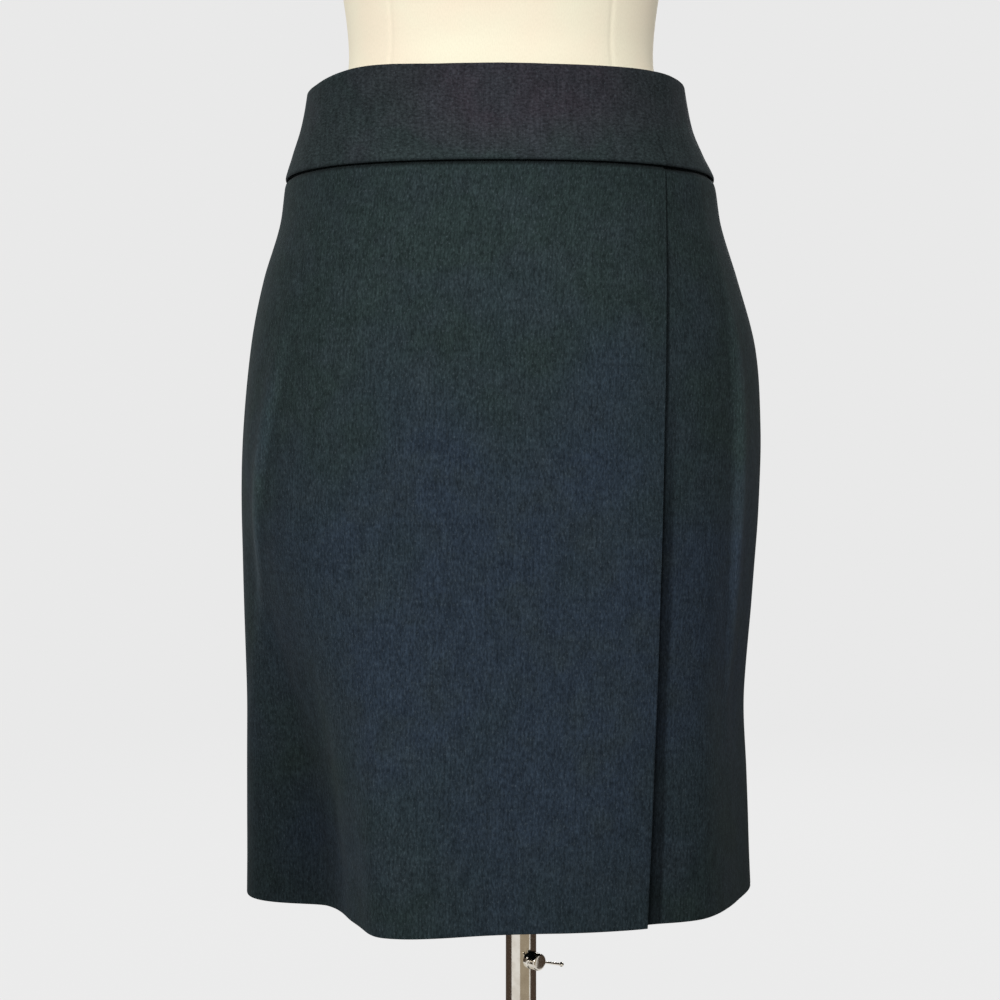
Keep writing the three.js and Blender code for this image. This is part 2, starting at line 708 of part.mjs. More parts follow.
/** The sliding bar in the screw's head: a thin rod with a ball at each end, slid down to its stop. */
function clampCrossBar() {
  const upper = -(HEAD_RADIUS + BAR_BALL_RADIUS + PART_GAP);
  const bar = toSolid(roundBar(BAR_RADIUS, upper, BAR_LOW_END, FINE_SIDES));
  const ball = (along) => new THREE.SphereGeometry(BAR_BALL_RADIUS, FINE_SIDES, FINE_SIDES)
    .rotateX(Math.PI / 2).translate(0, 0, along);
  const solid = bar.add(toSolid(ball(upper))).add(toSolid(ball(BAR_LOW_END)));
  const geometry = toGeometry(solid).rotateX(-Math.PI / 2).rotateX(radians(-BAR_DROP));
  return mesh('clamp_bar', geometry.translate(BAR_REACH, 0, 0), MATERIALS.chrome);
}

function clamp() {
  const group = new THREE.Group();
  group.position.z = CLAMP_HEIGHT;
  group.rotation.z = radians(CLAMP_TURN);
  group.add(clampScrew(), clampCrossBar());
  return group;
}

const dressed = new THREE.Group();
dressed.position.x = FORM_OFFSET_X;
dressed.add(skirt(), zipTape(), zipHead(), dressForm());

const part = new THREE.Group();
part.add(...base(), standTube(), rod(), clamp(), dressed);

export default part;
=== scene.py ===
# %% [markdown]
# # A pencil skirt on a dress form
# A knee-length skirt of heathered charcoal wool hangs on a cream, limbless dress form with a chromed pole.
# The frame holds the plain solids of every piece. Each cloth solid could be given a better finish as it is,
# but its facets would show, so each is replaced by a fine sheet on the same form, worked out by the same rules.

# %% Load the frame
import math

import bmesh
import bpy
import numpy as np
from mathutils import Matrix, Vector


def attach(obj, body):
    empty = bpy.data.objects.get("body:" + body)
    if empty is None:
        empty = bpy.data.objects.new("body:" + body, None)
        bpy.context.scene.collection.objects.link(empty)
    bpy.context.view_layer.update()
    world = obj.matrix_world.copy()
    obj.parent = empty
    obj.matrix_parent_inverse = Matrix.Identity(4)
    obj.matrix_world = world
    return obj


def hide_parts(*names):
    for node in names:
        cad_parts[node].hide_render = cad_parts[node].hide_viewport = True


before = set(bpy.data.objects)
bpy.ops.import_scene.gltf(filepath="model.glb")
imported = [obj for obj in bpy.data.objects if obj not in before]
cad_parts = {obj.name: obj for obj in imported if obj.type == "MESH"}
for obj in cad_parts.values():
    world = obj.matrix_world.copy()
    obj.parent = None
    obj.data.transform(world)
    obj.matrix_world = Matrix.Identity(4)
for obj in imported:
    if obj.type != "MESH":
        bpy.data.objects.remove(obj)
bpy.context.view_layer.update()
MM = 0.001
print("pieces in the frame:", sorted(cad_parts))

# %% [markdown]
# ## The camera
# The picture was taken from 1.25 m in front of the pole, level with the hip. A longer lens from farther away
# would flatten the curves of the waistband and the hem, so the distance is as important as the lens.
# A small downward shift frames the skirt and keeps its sides upright, which a tilt wouldn't.

# %% Camera
CAMERA_DISTANCE = 1250 * MM
CAMERA_HEIGHT = 740 * MM
FORM_OFFSET_X = -15 * MM
camera_data = bpy.data.cameras.new("camera")
camera_data.lens = 60
camera_data.sensor_width = 36
camera_data.shift_x = -0.001
camera_data.shift_y = -0.044
camera = bpy.data.objects.new("camera", camera_data)
camera.location = (FORM_OFFSET_X, -CAMERA_DISTANCE, CAMERA_HEIGHT)
camera.rotation_euler = (math.radians(90), 0, 0)
bpy.context.collection.objects.link(camera)
bpy.context.scene.camera = camera
print("camera at", tuple(round(x, 3) for x in camera.location))

# %% [markdown]
# ## The form of the skirt
# A pattern cutter thinks of a skirt as girths at heights: waist, hip and hem, each an oval that is fuller in
# front or behind. The table holds those ovals in millimetres, and a smooth curve runs through its rows.
# A sculpted mesh could hold the same form, but a table can be read, measured and changed.

# %% Ovals of the skirt
HEM, BAND_SEAM, BAND_TOP = 415, 943, 1011.5
# height, left, right, front, back, centre, squareness (2 is an ellipse)
SKIRT_SECTIONS = np.array([
    (415, 191, 192.5, 133, 106, 15, 2.37),
    (500, 191, 189, 137, 108, 15, 2.3),
    (560, 191.7, 186, 139, 112, 15, 2.25),
    (630, 194, 190.5, 141, 118, 14, 2.25),
    (700, 195, 194, 143, 124, 12, 2.25),
    (760, 192.8, 195, 142, 127, 10, 2.25),
    (820, 186.8, 190, 138, 124, 8, 2.3),
    (870, 177, 176.3, 132, 116, 7, 2.35),
    (910, 164.7, 164, 123, 108, 6, 2.4),
    (943, 160, 158.5, 114, 101, 5, 2.45),
    (960, 154.5, 150, 108, 97, 3, 2.5),
    (980, 148.2, 141.5, 102, 92, 1, 2.6),
    (1013, 142.5, 135.5, 99, 88, 0, 2.8),
])


def smoothstep(value, low, high):
    """0 below low, 1 above high, and a soft step between them."""
    t = np.clip((value - low) / (high - low), 0, 1)
    return t * t * (3 - 2 * t)


def on_curve(rows, height):
    """The other columns of a table at each height, on a smooth curve through its rows."""
    at, values = rows[:, 0], rows[:, 1:]
    z = np.clip(height, at[0], at[-1])
    i = np.clip(np.searchsorted(at, z, side="right") - 1, 0, len(at) - 2)
    before, after = np.maximum(i - 1, 0), np.minimum(i + 2, len(at) - 1)
    step = (at[i + 1] - at[i])[:, None]
    t = (z - at[i])[:, None] / step
    low, high = values[i], values[i + 1]
    slope_low = (high - values[before]) / (at[i + 1] - at[before])[:, None]
    slope_high = (values[after] - low) / (at[after] - at[i])[:, None]
    curve = (2 * t**3 - 3 * t**2 + 1) * low + (t**3 - 2 * t**2 + t) * step * slope_low
    curve += (3 * t**2 - 2 * t**3) * high + (t**3 - t**2) * step * slope_high
    return curve.T


print("half-width and front depth at the hip:", on_curve(SKIRT_SECTIONS, np.array([760.0]))[:3, 0])

# %% [markdown]
# ## Folds and creases
# Wool hangs in soft folds that open towards the hem, and wearing and pressing leave shallow, uneven creases.
# A cloth simulation would give folds of its own choosing. Placed one by one, they lie where the real ones lie,
# and the hidden sides get similar ones. Angles are in degrees from the front, towards the right-hand side.

# %% Folds of the skirt
# angle at the hem, angle at the top, spread before, spread after, top, depth
FOLDS = [
    (-64, -74, 6.3, 13.8, 760, -43),
    (-29, -32, 6.5, 13.5, 700, 19),
    (74, 67, 11.5, 9.5, 900, -12),
    (128, 122, 13, 16, 680, -10),
    (158, 160, 14, 12, 600, 6),
    (-140, -134, 15, 12, 650, -12),
]
# angle, middle height, half-width in degrees, half-length, lean in degrees per 100 mm, depth
CREASES = [
    (-44, 800, 7, 120, -1.5, 1.3),
    (-58, 830, 4, 100, -1.0, -0.9),
    (-68, 715, 2.0, 160, 7.0, 2.1),
    (-78, 740, 3, 150, 0.4, -0.5),
    (-55, 530, 4.5, 120, -2.6, -2.6),
    (-20, 690, 6, 160, 0.8, -0.7),
    (8, 770, 9, 170, -0.6, 0.8),
    (22, 640, 5, 140, 0.6, -0.7),
    (36, 850, 5, 90, 1.0, 0.7),
    (57, 790, 4, 120, 0.4, -0.8),
    (67.5, 714, 2.0, 190, -1.8, 2.2),
    (77, 720, 3, 150, -0.3, -0.5),
    (-8, 520, 6, 90, -0.8, 0.8),
    (100, 780, 5, 130, 0.6, -1.2),
    (116, 820, 6, 110, -0.7, 1.2),
    (140, 740, 7, 150, 0.9, -1.1),
    (165, 800, 5, 120, -0.5, 1.0),
    (-105, 790, 5, 130, -0.5, -1.2),
    (-122, 730, 7, 150, 0.8, 1.3),
    (-150, 800, 6, 120, -0.9, -1.0),
    (-168, 700, 5, 150, 0.4, 1.1),
    (150, 500, 7, 80, 0.7, -1.3),
    (-112, 500, 6, 90, -0.7, 1.2),
]


def turn_between(degrees, middle):
    """The turn from a middle to an angle, from -180 to 180 degrees."""
    return (degrees - middle + 180) % 360 - 180


def fold_offset(degrees, height):
    """How far the folds and creases move the cloth out."""
    offset = np.zeros_like(degrees)
    for at_hem, at_top, before, after, top, depth in FOLDS:
        growth = 1 - smoothstep(height, HEM, top)
        away = turn_between(degrees, at_top + (at_hem - at_top) * growth)
        spread = np.where(away < 0, before, after)
        offset += depth * growth * np.exp(-0.5 * (away / spread) ** 2)
    for angle, middle, spread, reach, lean, depth in CREASES:
        up = height - middle
        away = turn_between(degrees, angle + lean * up / 100)
        offset += depth * np.exp(-0.5 * (away / spread) ** 2 - 0.5 * (up / (reach * 0.6)) ** 2)
    return offset


print(len(FOLDS), "folds and", len(CREASES), "creases")

# %% [markdown]
# ## From angle and height to a point of the cloth
# Each point is found from its angle round the body and its height, then moved in or out along the cloth's own
# normal. So a layer that lies on another is made from the same points, moved, and can't cut through it.

# %% Points of the cloth


def outline_radius(left, right, front, back, squareness, angle):
    """Distance from an oval's centre to the oval, in a direction in radians from the front."""
    across, ahead = np.sin(angle), np.cos(angle)
    wide = np.abs(across / np.where(across > 0, right, left)) ** squareness
    deep = np.abs(ahead / np.where(ahead > 0, front, back)) ** squareness
    return (wide + deep) ** (-1 / squareness)


def face_point(degrees, height):
    """Points on the skirt's outer face, in millimetres from the skirt's own axis."""
    left, right, front, back, centre, squareness = on_curve(SKIRT_SECTIONS, height)
    angle = np.radians(degrees)
    radius = outline_radius(left, right, front, back, squareness, angle)
    radius = radius + fold_offset(degrees, height)
    return np.stack([radius * np.sin(angle), centre - radius * np.cos(angle), height], axis=1)


def skirt_point(degrees, height, depth):
    """Points at a depth under the outer face; a depth below 0 lies outside it."""
    ring = face_point(degrees + 0.5, height) - face_point(degrees - 0.5, height)
    up = face_point(degrees, height + 1) - face_point(degrees, height - 1)
    outward = np.cross(ring, up)
    outward[:, 2] = 0
    outward /= np.linalg.norm(outward, axis=1)[:, None]
    return face_point(degrees, height) - outward * np.broadcast_to(depth, height.shape)[:, None]


# %% [markdown]
# ## Construction lines
# Chalk lines on the cloth: line -90 is the left side seam, 0 the middle front, 90 the right side seam and 180
# the centre back. They bend so that line 45 runs down the free edge of the wrap.

# %% Lines of the skirt
OVERLAP_LINE, OVERLAP_REACH, UNDERLAP_LINE = 45, 40, 15
# height, distance of the overlap's edge to the right of the middle
OVERLAP_EDGE = np.array([(415, 101), (586, 108), (757, 112), (943, 115), (1013, 112)])


def overlap_angle(height):
    """The angle at which the overlap's free edge lies, by halving the interval."""
    across = on_curve(OVERLAP_EDGE, height)[0]
    low, high = np.full(height.shape, 10.0), np.full(height.shape, 80.0)
    for _ in range(24):
        middle = (low + high) / 2
        inside = face_point(middle, height)[:, 0] < across
        low, high = np.where(inside, middle, low), np.where(inside, high, middle)
    return (low + high) / 2


EDGE_HEIGHTS = np.arange(HEM - 6.0, BAND_SEAM + 1)
EDGE_ANGLES = overlap_angle(EDGE_HEIGHTS)


def line_angle(line, height):
    """The angle of a construction line at a height."""
    pull = np.maximum(0, 1 - np.abs(line - OVERLAP_LINE) / OVERLAP_REACH)
    return line + (np.interp(height, EDGE_HEIGHTS, EDGE_ANGLES) - OVERLAP_LINE) * pull


def to_frame(points):
    """Millimetres from the skirt's axis to metres in the frame."""
    return points * MM + np.array([FORM_OFFSET_X, 0, 0])


print("the wrap's edge lies at", EDGE_ANGLES[[0, -1]].round(1), "degrees at the hem and the band")

# %% [markdown]
# ## Colours and nodes
# Colours are written as they look on a screen and turned to the linear values that the renderer works in.
# One small function adds every node, so a material reads as a list of its nodes.

# %% Colour and node helpers


def linear(colour):
    """A screen colour such as 8a6f4d as linear red, green, blue and alpha."""
    channels = [int(colour[i:i + 2], 16) / 255 for i in (0, 2, 4)]
    return [c / 12.92 if c <= 0.04045 else ((c + 0.055) / 1.055) ** 2.4 for c in channels] + [1]


def add_node(tree, kind, settings=None, sockets=None):
    """Adds a node, with its settings, and sockets set to a value or linked to another node's output."""
    made = tree.nodes.new(kind)
    for name, value in (settings or {}).items():
        setattr(made, name, value)
    for name, value in (sockets or {}).items():
        if isinstance(value, bpy.types.NodeSocket):
            tree.links.new(value, made.inputs[name])
        else:
            made.inputs[name].default_value = value
    return made


def new_material(name, sockets):
    """A material with a Principled shader, and the shader and node tree to build on."""
    material = bpy.data.materials.new(name)
    material.use_nodes = True
    tree = material.node_tree
    shader = tree.nodes["Principled BSDF"]
    for socket, value in sockets.items():
        shader.inputs[socket].default_value = value
    return material, tree, shader


# %% [markdown]
# ## Heathered wool
# The cloth is a worsted wool suiting: fibres dyed black, bottle green, navy and grey are blended before they
# are spun, so each yarn shows as a fine streak along the grain, with a pale fibre here and there. A flat grey
# would look like plastic. Streaks are drawn from the sheet's own UV map, which is in metres along the grain,
# and the broad drift from green-black to navy from the object's place, so that it runs on across the seams.
# A yarn is 0.4 mm thick, less than a pixel, so the streaks are drawn about 1 mm wide.

# %% Wool material
# width and height of the grains, in millimetres
BODY_STREAK, BODY_FLECK = (1.4, 3.6), (1.2, 2.4)
BAND_STREAK, BAND_FLECK = (2.6, 1.7), (1.5, 1.6)
SLUB, MOTTLE, FUZZ = (2.2, 26), (9, 14), (0.7, 1.4)
DRIFT_SIZE = 110 * MM
# Painted shade: the wool's colour darkens away from a centre on the front, towards the sides, the back and the hem.
PAINTED_SHADE_CENTRE, PAINTED_SHADE_REACH = (-0.03, -0.12, 0.68), (0.155, 0.4, 0.33)
# Painted shade and painted highlights laid along the cloth's construction lines, as factors on its colour.
# line, height, reach in lines and in height, lines it leans in 100 mm, share of the reach it fills, and fades by,
# tone: the factor on the colour, below 1 for painted shade and above 1 for painted highlight
PAINTED_SHADE_AND_HIGHLIGHTS = [
    # painted shade in the deep fold at the lower left, over the fold's own shape
    (-66, 470, 13, 140, 0, 0.2, 1.3, 0.62),
    # painted shadow beside the wrap's free edge, low and high, over the shadow that the edge casts
    (47.1, 460, 2.1, 270, 0, 0.85, 1.3, 0.42),
    (45.75, 790, 0.8, 190, 0, 0.7, 1.2, 0.45),
    # painted shade along the ditch of the band seam, all round
    (0, 941.8, 9000, 2.8, 0, 0.35, 1.1, 0.4),
    # painted highlight: a pale stripe down each side, over a pressed ridge in the cloth's shape
    (-68, 715, 3.3, 130, 9, 0.3, 1.0, 1.75),
    (67.5, 714, 3.3, 160, -1.8, 0.3, 1.0, 2.3),
]


def grains(tree, uv, size, detail=2.0):
    """Noise whose grains have a width and a height in millimetres."""
    scale = (1 / (size[0] * MM), 1 / (size[1] * MM), 1)
    mapped = add_node(tree, "ShaderNodeMapping", None, {"Vector": uv, "Scale": scale})
    settings = {"noise_dimensions": "2D"}
    sockets = {"Vector": mapped.outputs["Vector"], "Scale": 1.0, "Detail": detail, "Roughness": 0.6}
    return add_node(tree, "ShaderNodeTexNoise", settings, sockets).outputs["Fac"]


def spread(tree, value, low, high, to_low, to_high):
    """Stretches a value's range to another, and keeps it there."""
    sockets = {"Value": value, "From Min": low, "From Max": high, "To Min": to_low, "To Max": to_high}
    return add_node(tree, "ShaderNodeMapRange", {"clamp": True}, sockets).outputs["Result"]


def mix_colours(tree, factor, first, second, blend="MIX"):
    """Mixes or multiplies two colours."""
    settings = {"data_type": "RGBA", "blend_type": blend}
    return add_node(tree, "ShaderNodeMix", settings, {0: factor, 6: first, 7: second}).outputs[2]


def distance(tree, places, centre, reach, lean=0.0):
    """How far points lie from a centre, as a share of a reach along each axis, which may lean."""
    sockets = {"Vector": places, "Location": centre, "Rotation": (0, 0, lean), "Scale": reach}
    shares = add_node(tree, "ShaderNodeMapping", {"vector_type": "TEXTURE"}, sockets)
    length = add_node(tree, "ShaderNodeVectorMath", {"operation": "LENGTH"}, {0: shares.outputs["Vector"]})
    return length.outputs["Value"]


def wool(name, streak_size, fleck_size, colours, navy_centre, navy_reach):
    """Heathered worsted wool with streaks and pale flecks of given sizes, under painted shade and painted highlights.
    """
    green, navy, grey = colours
    sockets = {"Roughness": 0.95, "Specular IOR Level": 0.06, "Sheen Weight": 0.05, "Sheen Roughness": 0.5,
               "Sheen Tint": linear("aab4bb")}
    material, tree, shader = new_material(name, sockets)
    places = add_node(tree, "ShaderNodeTexCoord")
    uv = add_node(tree, "ShaderNodeUVMap", {"uv_map": "grain"}).outputs["UV"]
    drift_sockets = {"Vector": places.outputs["Object"], "Scale": 1 / DRIFT_SIZE, "Detail": 3.0}
    drift = add_node(tree, "ShaderNodeTexNoise", None, drift_sockets).outputs["Fac"]
    place = places.outputs["Object"]
    near = spread(tree, distance(tree, place, navy_centre, navy_reach), 0.4, 1.5, 0.22, -0.25)
    blend = add_node(tree, "ShaderNodeMath", {"operation": "ADD"}, {0: drift, 1: near}).outputs[0]
    base = mix_colours(tree, spread(tree, blend, 0.35, 0.65, 0, 1), linear(green), linear(navy))
    patch_sockets = {"Vector": places.outputs["Object"], "Scale": 1 / (DRIFT_SIZE * 0.25), "Detail": 3.0}
    patch = add_node(tree, "ShaderNodeTexNoise", None, patch_sockets).outputs["Fac"]
    base = mix_colours(tree, spread(tree, patch, 0.45, 0.7, 0, 0.6), base, linear(grey))
    streak = grains(tree, uv, streak_size)
    tone = spread(tree, streak, 0.3, 0.72, 0.64, 1.38)
    slub = spread(tree, grains(tree, uv, SLUB, 3.0), 0.34, 0.68, 0.87, 1.15)
    for shade in (tone, slub, spread(tree, grains(tree, uv, MOTTLE), 0.3, 0.7, 0.86, 1.14)):
        base = mix_colours(tree, 1.0, base, shade, "MULTIPLY")
    pale = spread(tree, grains(tree, uv, fleck_size), 0.6, 0.82, 0, 0.34)
    colour = mix_colours(tree, pale, base, linear("5f6b72"))
    # Painted shade and painted highlights multiply the colour last, after the pale flecks.
    shades = [spread(tree, distance(tree, place, PAINTED_SHADE_CENTRE, PAINTED_SHADE_REACH), 0.7, 1.5, 1.0, 0.55)]
    lines = add_node(tree, "ShaderNodeUVMap", {"uv_map": "lines"}).outputs["UV"]
    for line, middle, wide, tall, lean, start, end, shade in PAINTED_SHADE_AND_HIGHLIGHTS:
        away = distance(tree, lines, (line, middle, 0), (wide, tall, 1), -math.atan(lean / 100))
        shades.append(spread(tree, away, start, end, shade, 1.0))
    for shade in shades:
        colour = mix_colours(tree, 1.0, colour, shade, "MULTIPLY")
    tree.links.new(colour, shader.inputs["Base Color"])
    height = add_node(tree, "ShaderNodeMath", {"operation": "ADD"}, {0: grains(tree, uv, FUZZ), 1: streak}).outputs[0]
    bump = add_node(tree, "ShaderNodeBump", None, {"Height": height, "Strength": 0.5, "Distance": 0.25 * MM})
    tree.links.new(bump.outputs["Normal"], shader.inputs["Normal"])
    return material


BODY_WOOL = wool("heathered_wool_body", BODY_STREAK, BODY_FLECK, ("253030", "28323d", "2a3337"),
                 (0.01, -0.12, 0.6), (0.2, 0.3, 0.2))
BAND_WOOL = wool("heathered_wool_band", BAND_STREAK, BAND_FLECK, ("2a3334", "333137", "303439"),
                 (0.01, -0.1, 1.0), (0.11, 0.3, 0.05))
print("wool materials:", BODY_WOOL.name, BAND_WOOL.name)

# %% [markdown]
# ## A sheet of cloth
# Cloth is cut flat and hung, so each panel starts as a flat grid, and every point of the grid is then placed by
# its line and row. Its UV map holds real metres along and across the grain. Solidify gives the wall its
# thickness towards the inside, and a small bevel rounds the turned edges, as pressing does.

# %% Sheet maker


def steps(first, last, pitch):
    """Even values from first to last, no farther apart than the pitch."""
    return np.linspace(first, last, max(2, math.ceil(abs(last - first) / pitch) + 1))


def grid_mesh(columns, rows, place):
    """A grid with a point for each column and row, placed by a function that takes both."""
    bm = bmesh.new()
    across, along = len(columns) - 1, len(rows) - 1
    bmesh.ops.create_grid(bm, x_segments=across, y_segments=along, size=0.5)
    spot = np.array([vert.co[:2] for vert in bm.verts]) + 0.5
    column = np.rint(spot[:, 0] * across).astype(int)
    row = np.rint(spot[:, 1] * along).astype(int)
    points = place(columns[column], rows[row])
    for vert, point in zip(bm.verts, points):
        vert.co = point
    net = np.empty((along + 1, across + 1, 3))
    net[row, column] = points
    stride = np.linalg.norm(np.diff(net, axis=1), axis=2)
    reach = np.concatenate([np.zeros((along + 1, 1)), np.cumsum(stride, axis=1)], axis=1)
    reach -= reach[:, [across // 2]]
    grain, chalk = bm.loops.layers.uv.new("grain"), bm.loops.layers.uv.new("lines")
    for face in bm.faces:
        for loop in face.loops:
            i = loop.vert.index
            loop[grain].uv = (reach[row[i], column[i]], rows[row[i]] * MM)
            loop[chalk].uv = (columns[column[i]], rows[row[i]])
    return bm


def add_piece(name, bm, material, body, *nodes):
    """Makes an object of a bmesh, smooth, on a body, in place of the named nodes."""
    mesh = bpy.data.meshes.new(name)
    bm.to_mesh(mesh)
    bm.free()
    mesh.shade_smooth()
    mesh.materials.append(material)
    piece = bpy.data.objects.new(name, mesh)
    bpy.context.collection.objects.link(piece)
    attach(piece, body)
    if nodes:
        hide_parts(*nodes)
    return piece


def thicken(piece, thickness, edge, segments=2):
    """Gives a sheet its thickness towards the inside, and round edges."""
    wall = piece.modifiers.new("thickness", "SOLIDIFY")
    wall.thickness = thickness
    wall.offset = -1
    wall.use_even_offset = True
    rim = piece.modifiers.new("round edge", "BEVEL")
    rim.width = edge
    rim.segments = segments
    rim.limit_method = "ANGLE"
    rim.angle_limit = math.radians(50)
    return piece


def sheet_size(piece):
    """Flat area of a sheet before it is thickened, with its mean width and its length, in metres."""
    area = sum(face.area for face in piece.data.polygons)
    heights = [vert.co.z for vert in piece.data.vertices]
    length = max(heights) - min(heights)
    return area, area / length, length


# %% [markdown]
# ## The four panels of the skirt
# The front is a wrap: the overlap reaches from the left side seam to its free edge, and the under panel from
# behind it to the right side seam. Two back panels meet at the centre back. Each could be one tube with lines
# painted on it, but real seams have a small ditch, and the free edge throws a shadow, so each is its own sheet.
# The shadow beside the free edge is widened with painted shadow in the wool's colour.

# %% Skirt panels
CLOTH = 1.6
# the panels bite into each other a little, so that no light shows between them
SEAM_GAP = -0.1
OVERLAP_GAP_TOP, OVERLAP_GAP_HEM = 0.8, 7.0
SIDE_SEAM_HALF = math.degrees(SEAM_GAP / 2 / 150)
BACK_SEAM_HALF = math.degrees(SEAM_GAP / 2 / 95)
SEAM_DITCH, SEAM_DITCH_REACH = 0.45, 0.8
PITCH_LINES, PITCH_ROWS = 0.9, 3.2
BODY_TOP, BAND_BOTTOM = BAND_SEAM + 2.4, BAND_SEAM + 0.2


def body_dip(row):
    """The cloth dips into the ditch of the band seam, gently and then steeply, and runs on behind the band."""
    return 0.7 * smoothstep(row, BAND_SEAM - 6, BAND_SEAM) + 2.5 * smoothstep(row, BAND_SEAM - 3, BAND_SEAM + 0.3)


def under_depth(line, height):
    """Behind the overlap the under panel leaves a gap that widens to the hem."""
    down = 1 - smoothstep(height, HEM, BAND_SEAM)
    behind = CLOTH + OVERLAP_GAP_TOP + (OVERLAP_GAP_HEM - OVERLAP_GAP_TOP) * down
    return behind * (1 - smoothstep(line, OVERLAP_LINE + 1.5, OVERLAP_LINE + 16))


def seam_ditch(line):
    """The side seams and the centre back seam are pressed in a little."""
    return sum(SEAM_DITCH * np.exp(-(turn_between(line, seam) / SEAM_DITCH_REACH) ** 2) for seam in (-90, 90, 180))


def panel_columns(first, last):
    """Lines across a panel, closer together at its two edges."""
    return np.concatenate([steps(first, first + 2, 0.4)[:-1], steps(first + 2, last - 2, PITCH_LINES)[:-1],
                           steps(last - 2, last, 0.4)])


def surface_ripple(line, height):
    """A faint unevenness of pressed cloth, from a few crossed waves."""
    a = np.sin(line * 0.21 + height * 0.013) * np.sin(height * 0.047 - line * 0.05 + 1.3)
    b = np.sin(line * 0.47 - height * 0.021 + 0.7) * np.sin(height * 0.083 + line * 0.11)
    return 0.16 * a + 0.08 * b


def body_panel(name, first, last, under=False):
    """A panel between two lines, from the hem to the band seam."""
    def place(line, row):
        depth = body_dip(row) + seam_ditch(line) + surface_ripple(line, row)
        if under:
            depth = depth + under_depth(line, row)
        return to_frame(skirt_point(line_angle(line, row), row, depth))
    rows = np.concatenate([steps(HEM, BAND_SEAM - 6, PITCH_ROWS)[:-1], steps(BAND_SEAM - 6, BODY_TOP, 0.5)])
    piece = add_piece(name, grid_mesh(panel_columns(first, last), rows, place), BODY_WOOL, "form",
                      name.replace("wool_", ""))
    thicken(piece, CLOTH * MM, 0.35 * MM)
    print(name, "area, width and length:", [round(x, 3) for x in sheet_size(piece)])
    return piece


front_panel = body_panel("wool_front_panel", -90 + SIDE_SEAM_HALF, OVERLAP_LINE)
under_panel = body_panel("wool_front_under_panel", UNDERLAP_LINE, 90 - SIDE_SEAM_HALF, True)
back_right = body_panel("wool_back_right_panel", 90 + SIDE_SEAM_HALF, 180 - BACK_SEAM_HALF)
back_left = body_panel("wool_back_left_panel", -180 + BACK_SEAM_HALF, -90 - SIDE_SEAM_HALF)

# %% [markdown]
# ## The waistband
# The band is cut on the cross grain, doubled and stiffened, so it is thicker than the skirt, stands a little
# proud of it and stays smooth. Its lower edge rolls under into the seam, which shades the dark line round the
# skirt, and painted shade in the wool's colour along the seam darkens that line further; its top edge is a soft fold.
# The same sheet maker serves, with rows close together at the roll.

# %% Waistband pieces
BAND_CLOTH = 2.5
BAND_PROUD = 1
# line, how far the top edge rises or sinks there
TOP_EDGE = np.array([(-180, -4), (-130, -5), (-90, -6.5), (-70, -6), (-50, 0.5), (-25, 0), (0, 0.3), (25, -0.5),
                     (50, -0.5), (70, -2), (90, -4), (130, -4.5), (180, -4)])
BAND_ROLL, BAND_ROLL_HEIGHT = 1.6, 3.2


def band_depth(row):
    """The band stands proud, less so towards its top, and rolls under at its lower edge."""
    proud = BAND_PROUD * (1 - smoothstep(row, 960, BAND_TOP))
    below = np.clip((BAND_SEAM + BAND_ROLL_HEIGHT - row) / BAND_ROLL_HEIGHT, 0, 1)
    return BAND_ROLL * (1 - np.sqrt(1 - below**2 * 0.98)) - proud


def band_piece(name, first, last):
    """A piece of the waistband between two lines."""
    def place(line, row):
        height = row + on_curve(TOP_EDGE, line)[0] * smoothstep(row, BAND_SEAM, BAND_TOP)
        depth = band_depth(row) + seam_ditch(line)
        depth = depth + surface_ripple(line * 1.7, height * 1.3) * smoothstep(row, BAND_SEAM, 950)
        return to_frame(skirt_point(line_angle(line, height), height, depth))
    rows = np.concatenate([steps(BAND_BOTTOM, BAND_BOTTOM + BAND_ROLL_HEIGHT, 0.5)[:-1],
                           steps(BAND_BOTTOM + BAND_ROLL_HEIGHT, BAND_TOP, 2.2)])
    piece = add_piece(name, grid_mesh(panel_columns(first, last), rows, place), BAND_WOOL, "form",
                      name.replace("wool_", ""))
    thicken(piece, BAND_CLOTH * MM, 0.5 * MM, 3)
    print(name, "area, width and length:", [round(x, 3) for x in sheet_size(piece)])
    return piece


band_front = band_piece("wool_waistband_front", -90 + SIDE_SEAM_HALF, 90 - SIDE_SEAM_HALF)
band_right = band_piece("wool_waistband_back_right", 90 + SIDE_SEAM_HALF, 180 - BACK_SEAM_HALF)
band_left = band_piece("wool_waistband_back_left", -180 + BACK_SEAM_HALF, -90 - SIDE_SEAM_HALF)

# %% [markdown]
# ## The dress form
# The torso is padded, covered in cream cotton jersey and sewn from seven gores. Its own ovals run from the
# hips to the neck. Inside the skirt it is held just clear of the cloth that hangs on it. The gores' seams are
# shallow grooves, so the grid gets extra columns close to each seam instead of being fine all over.

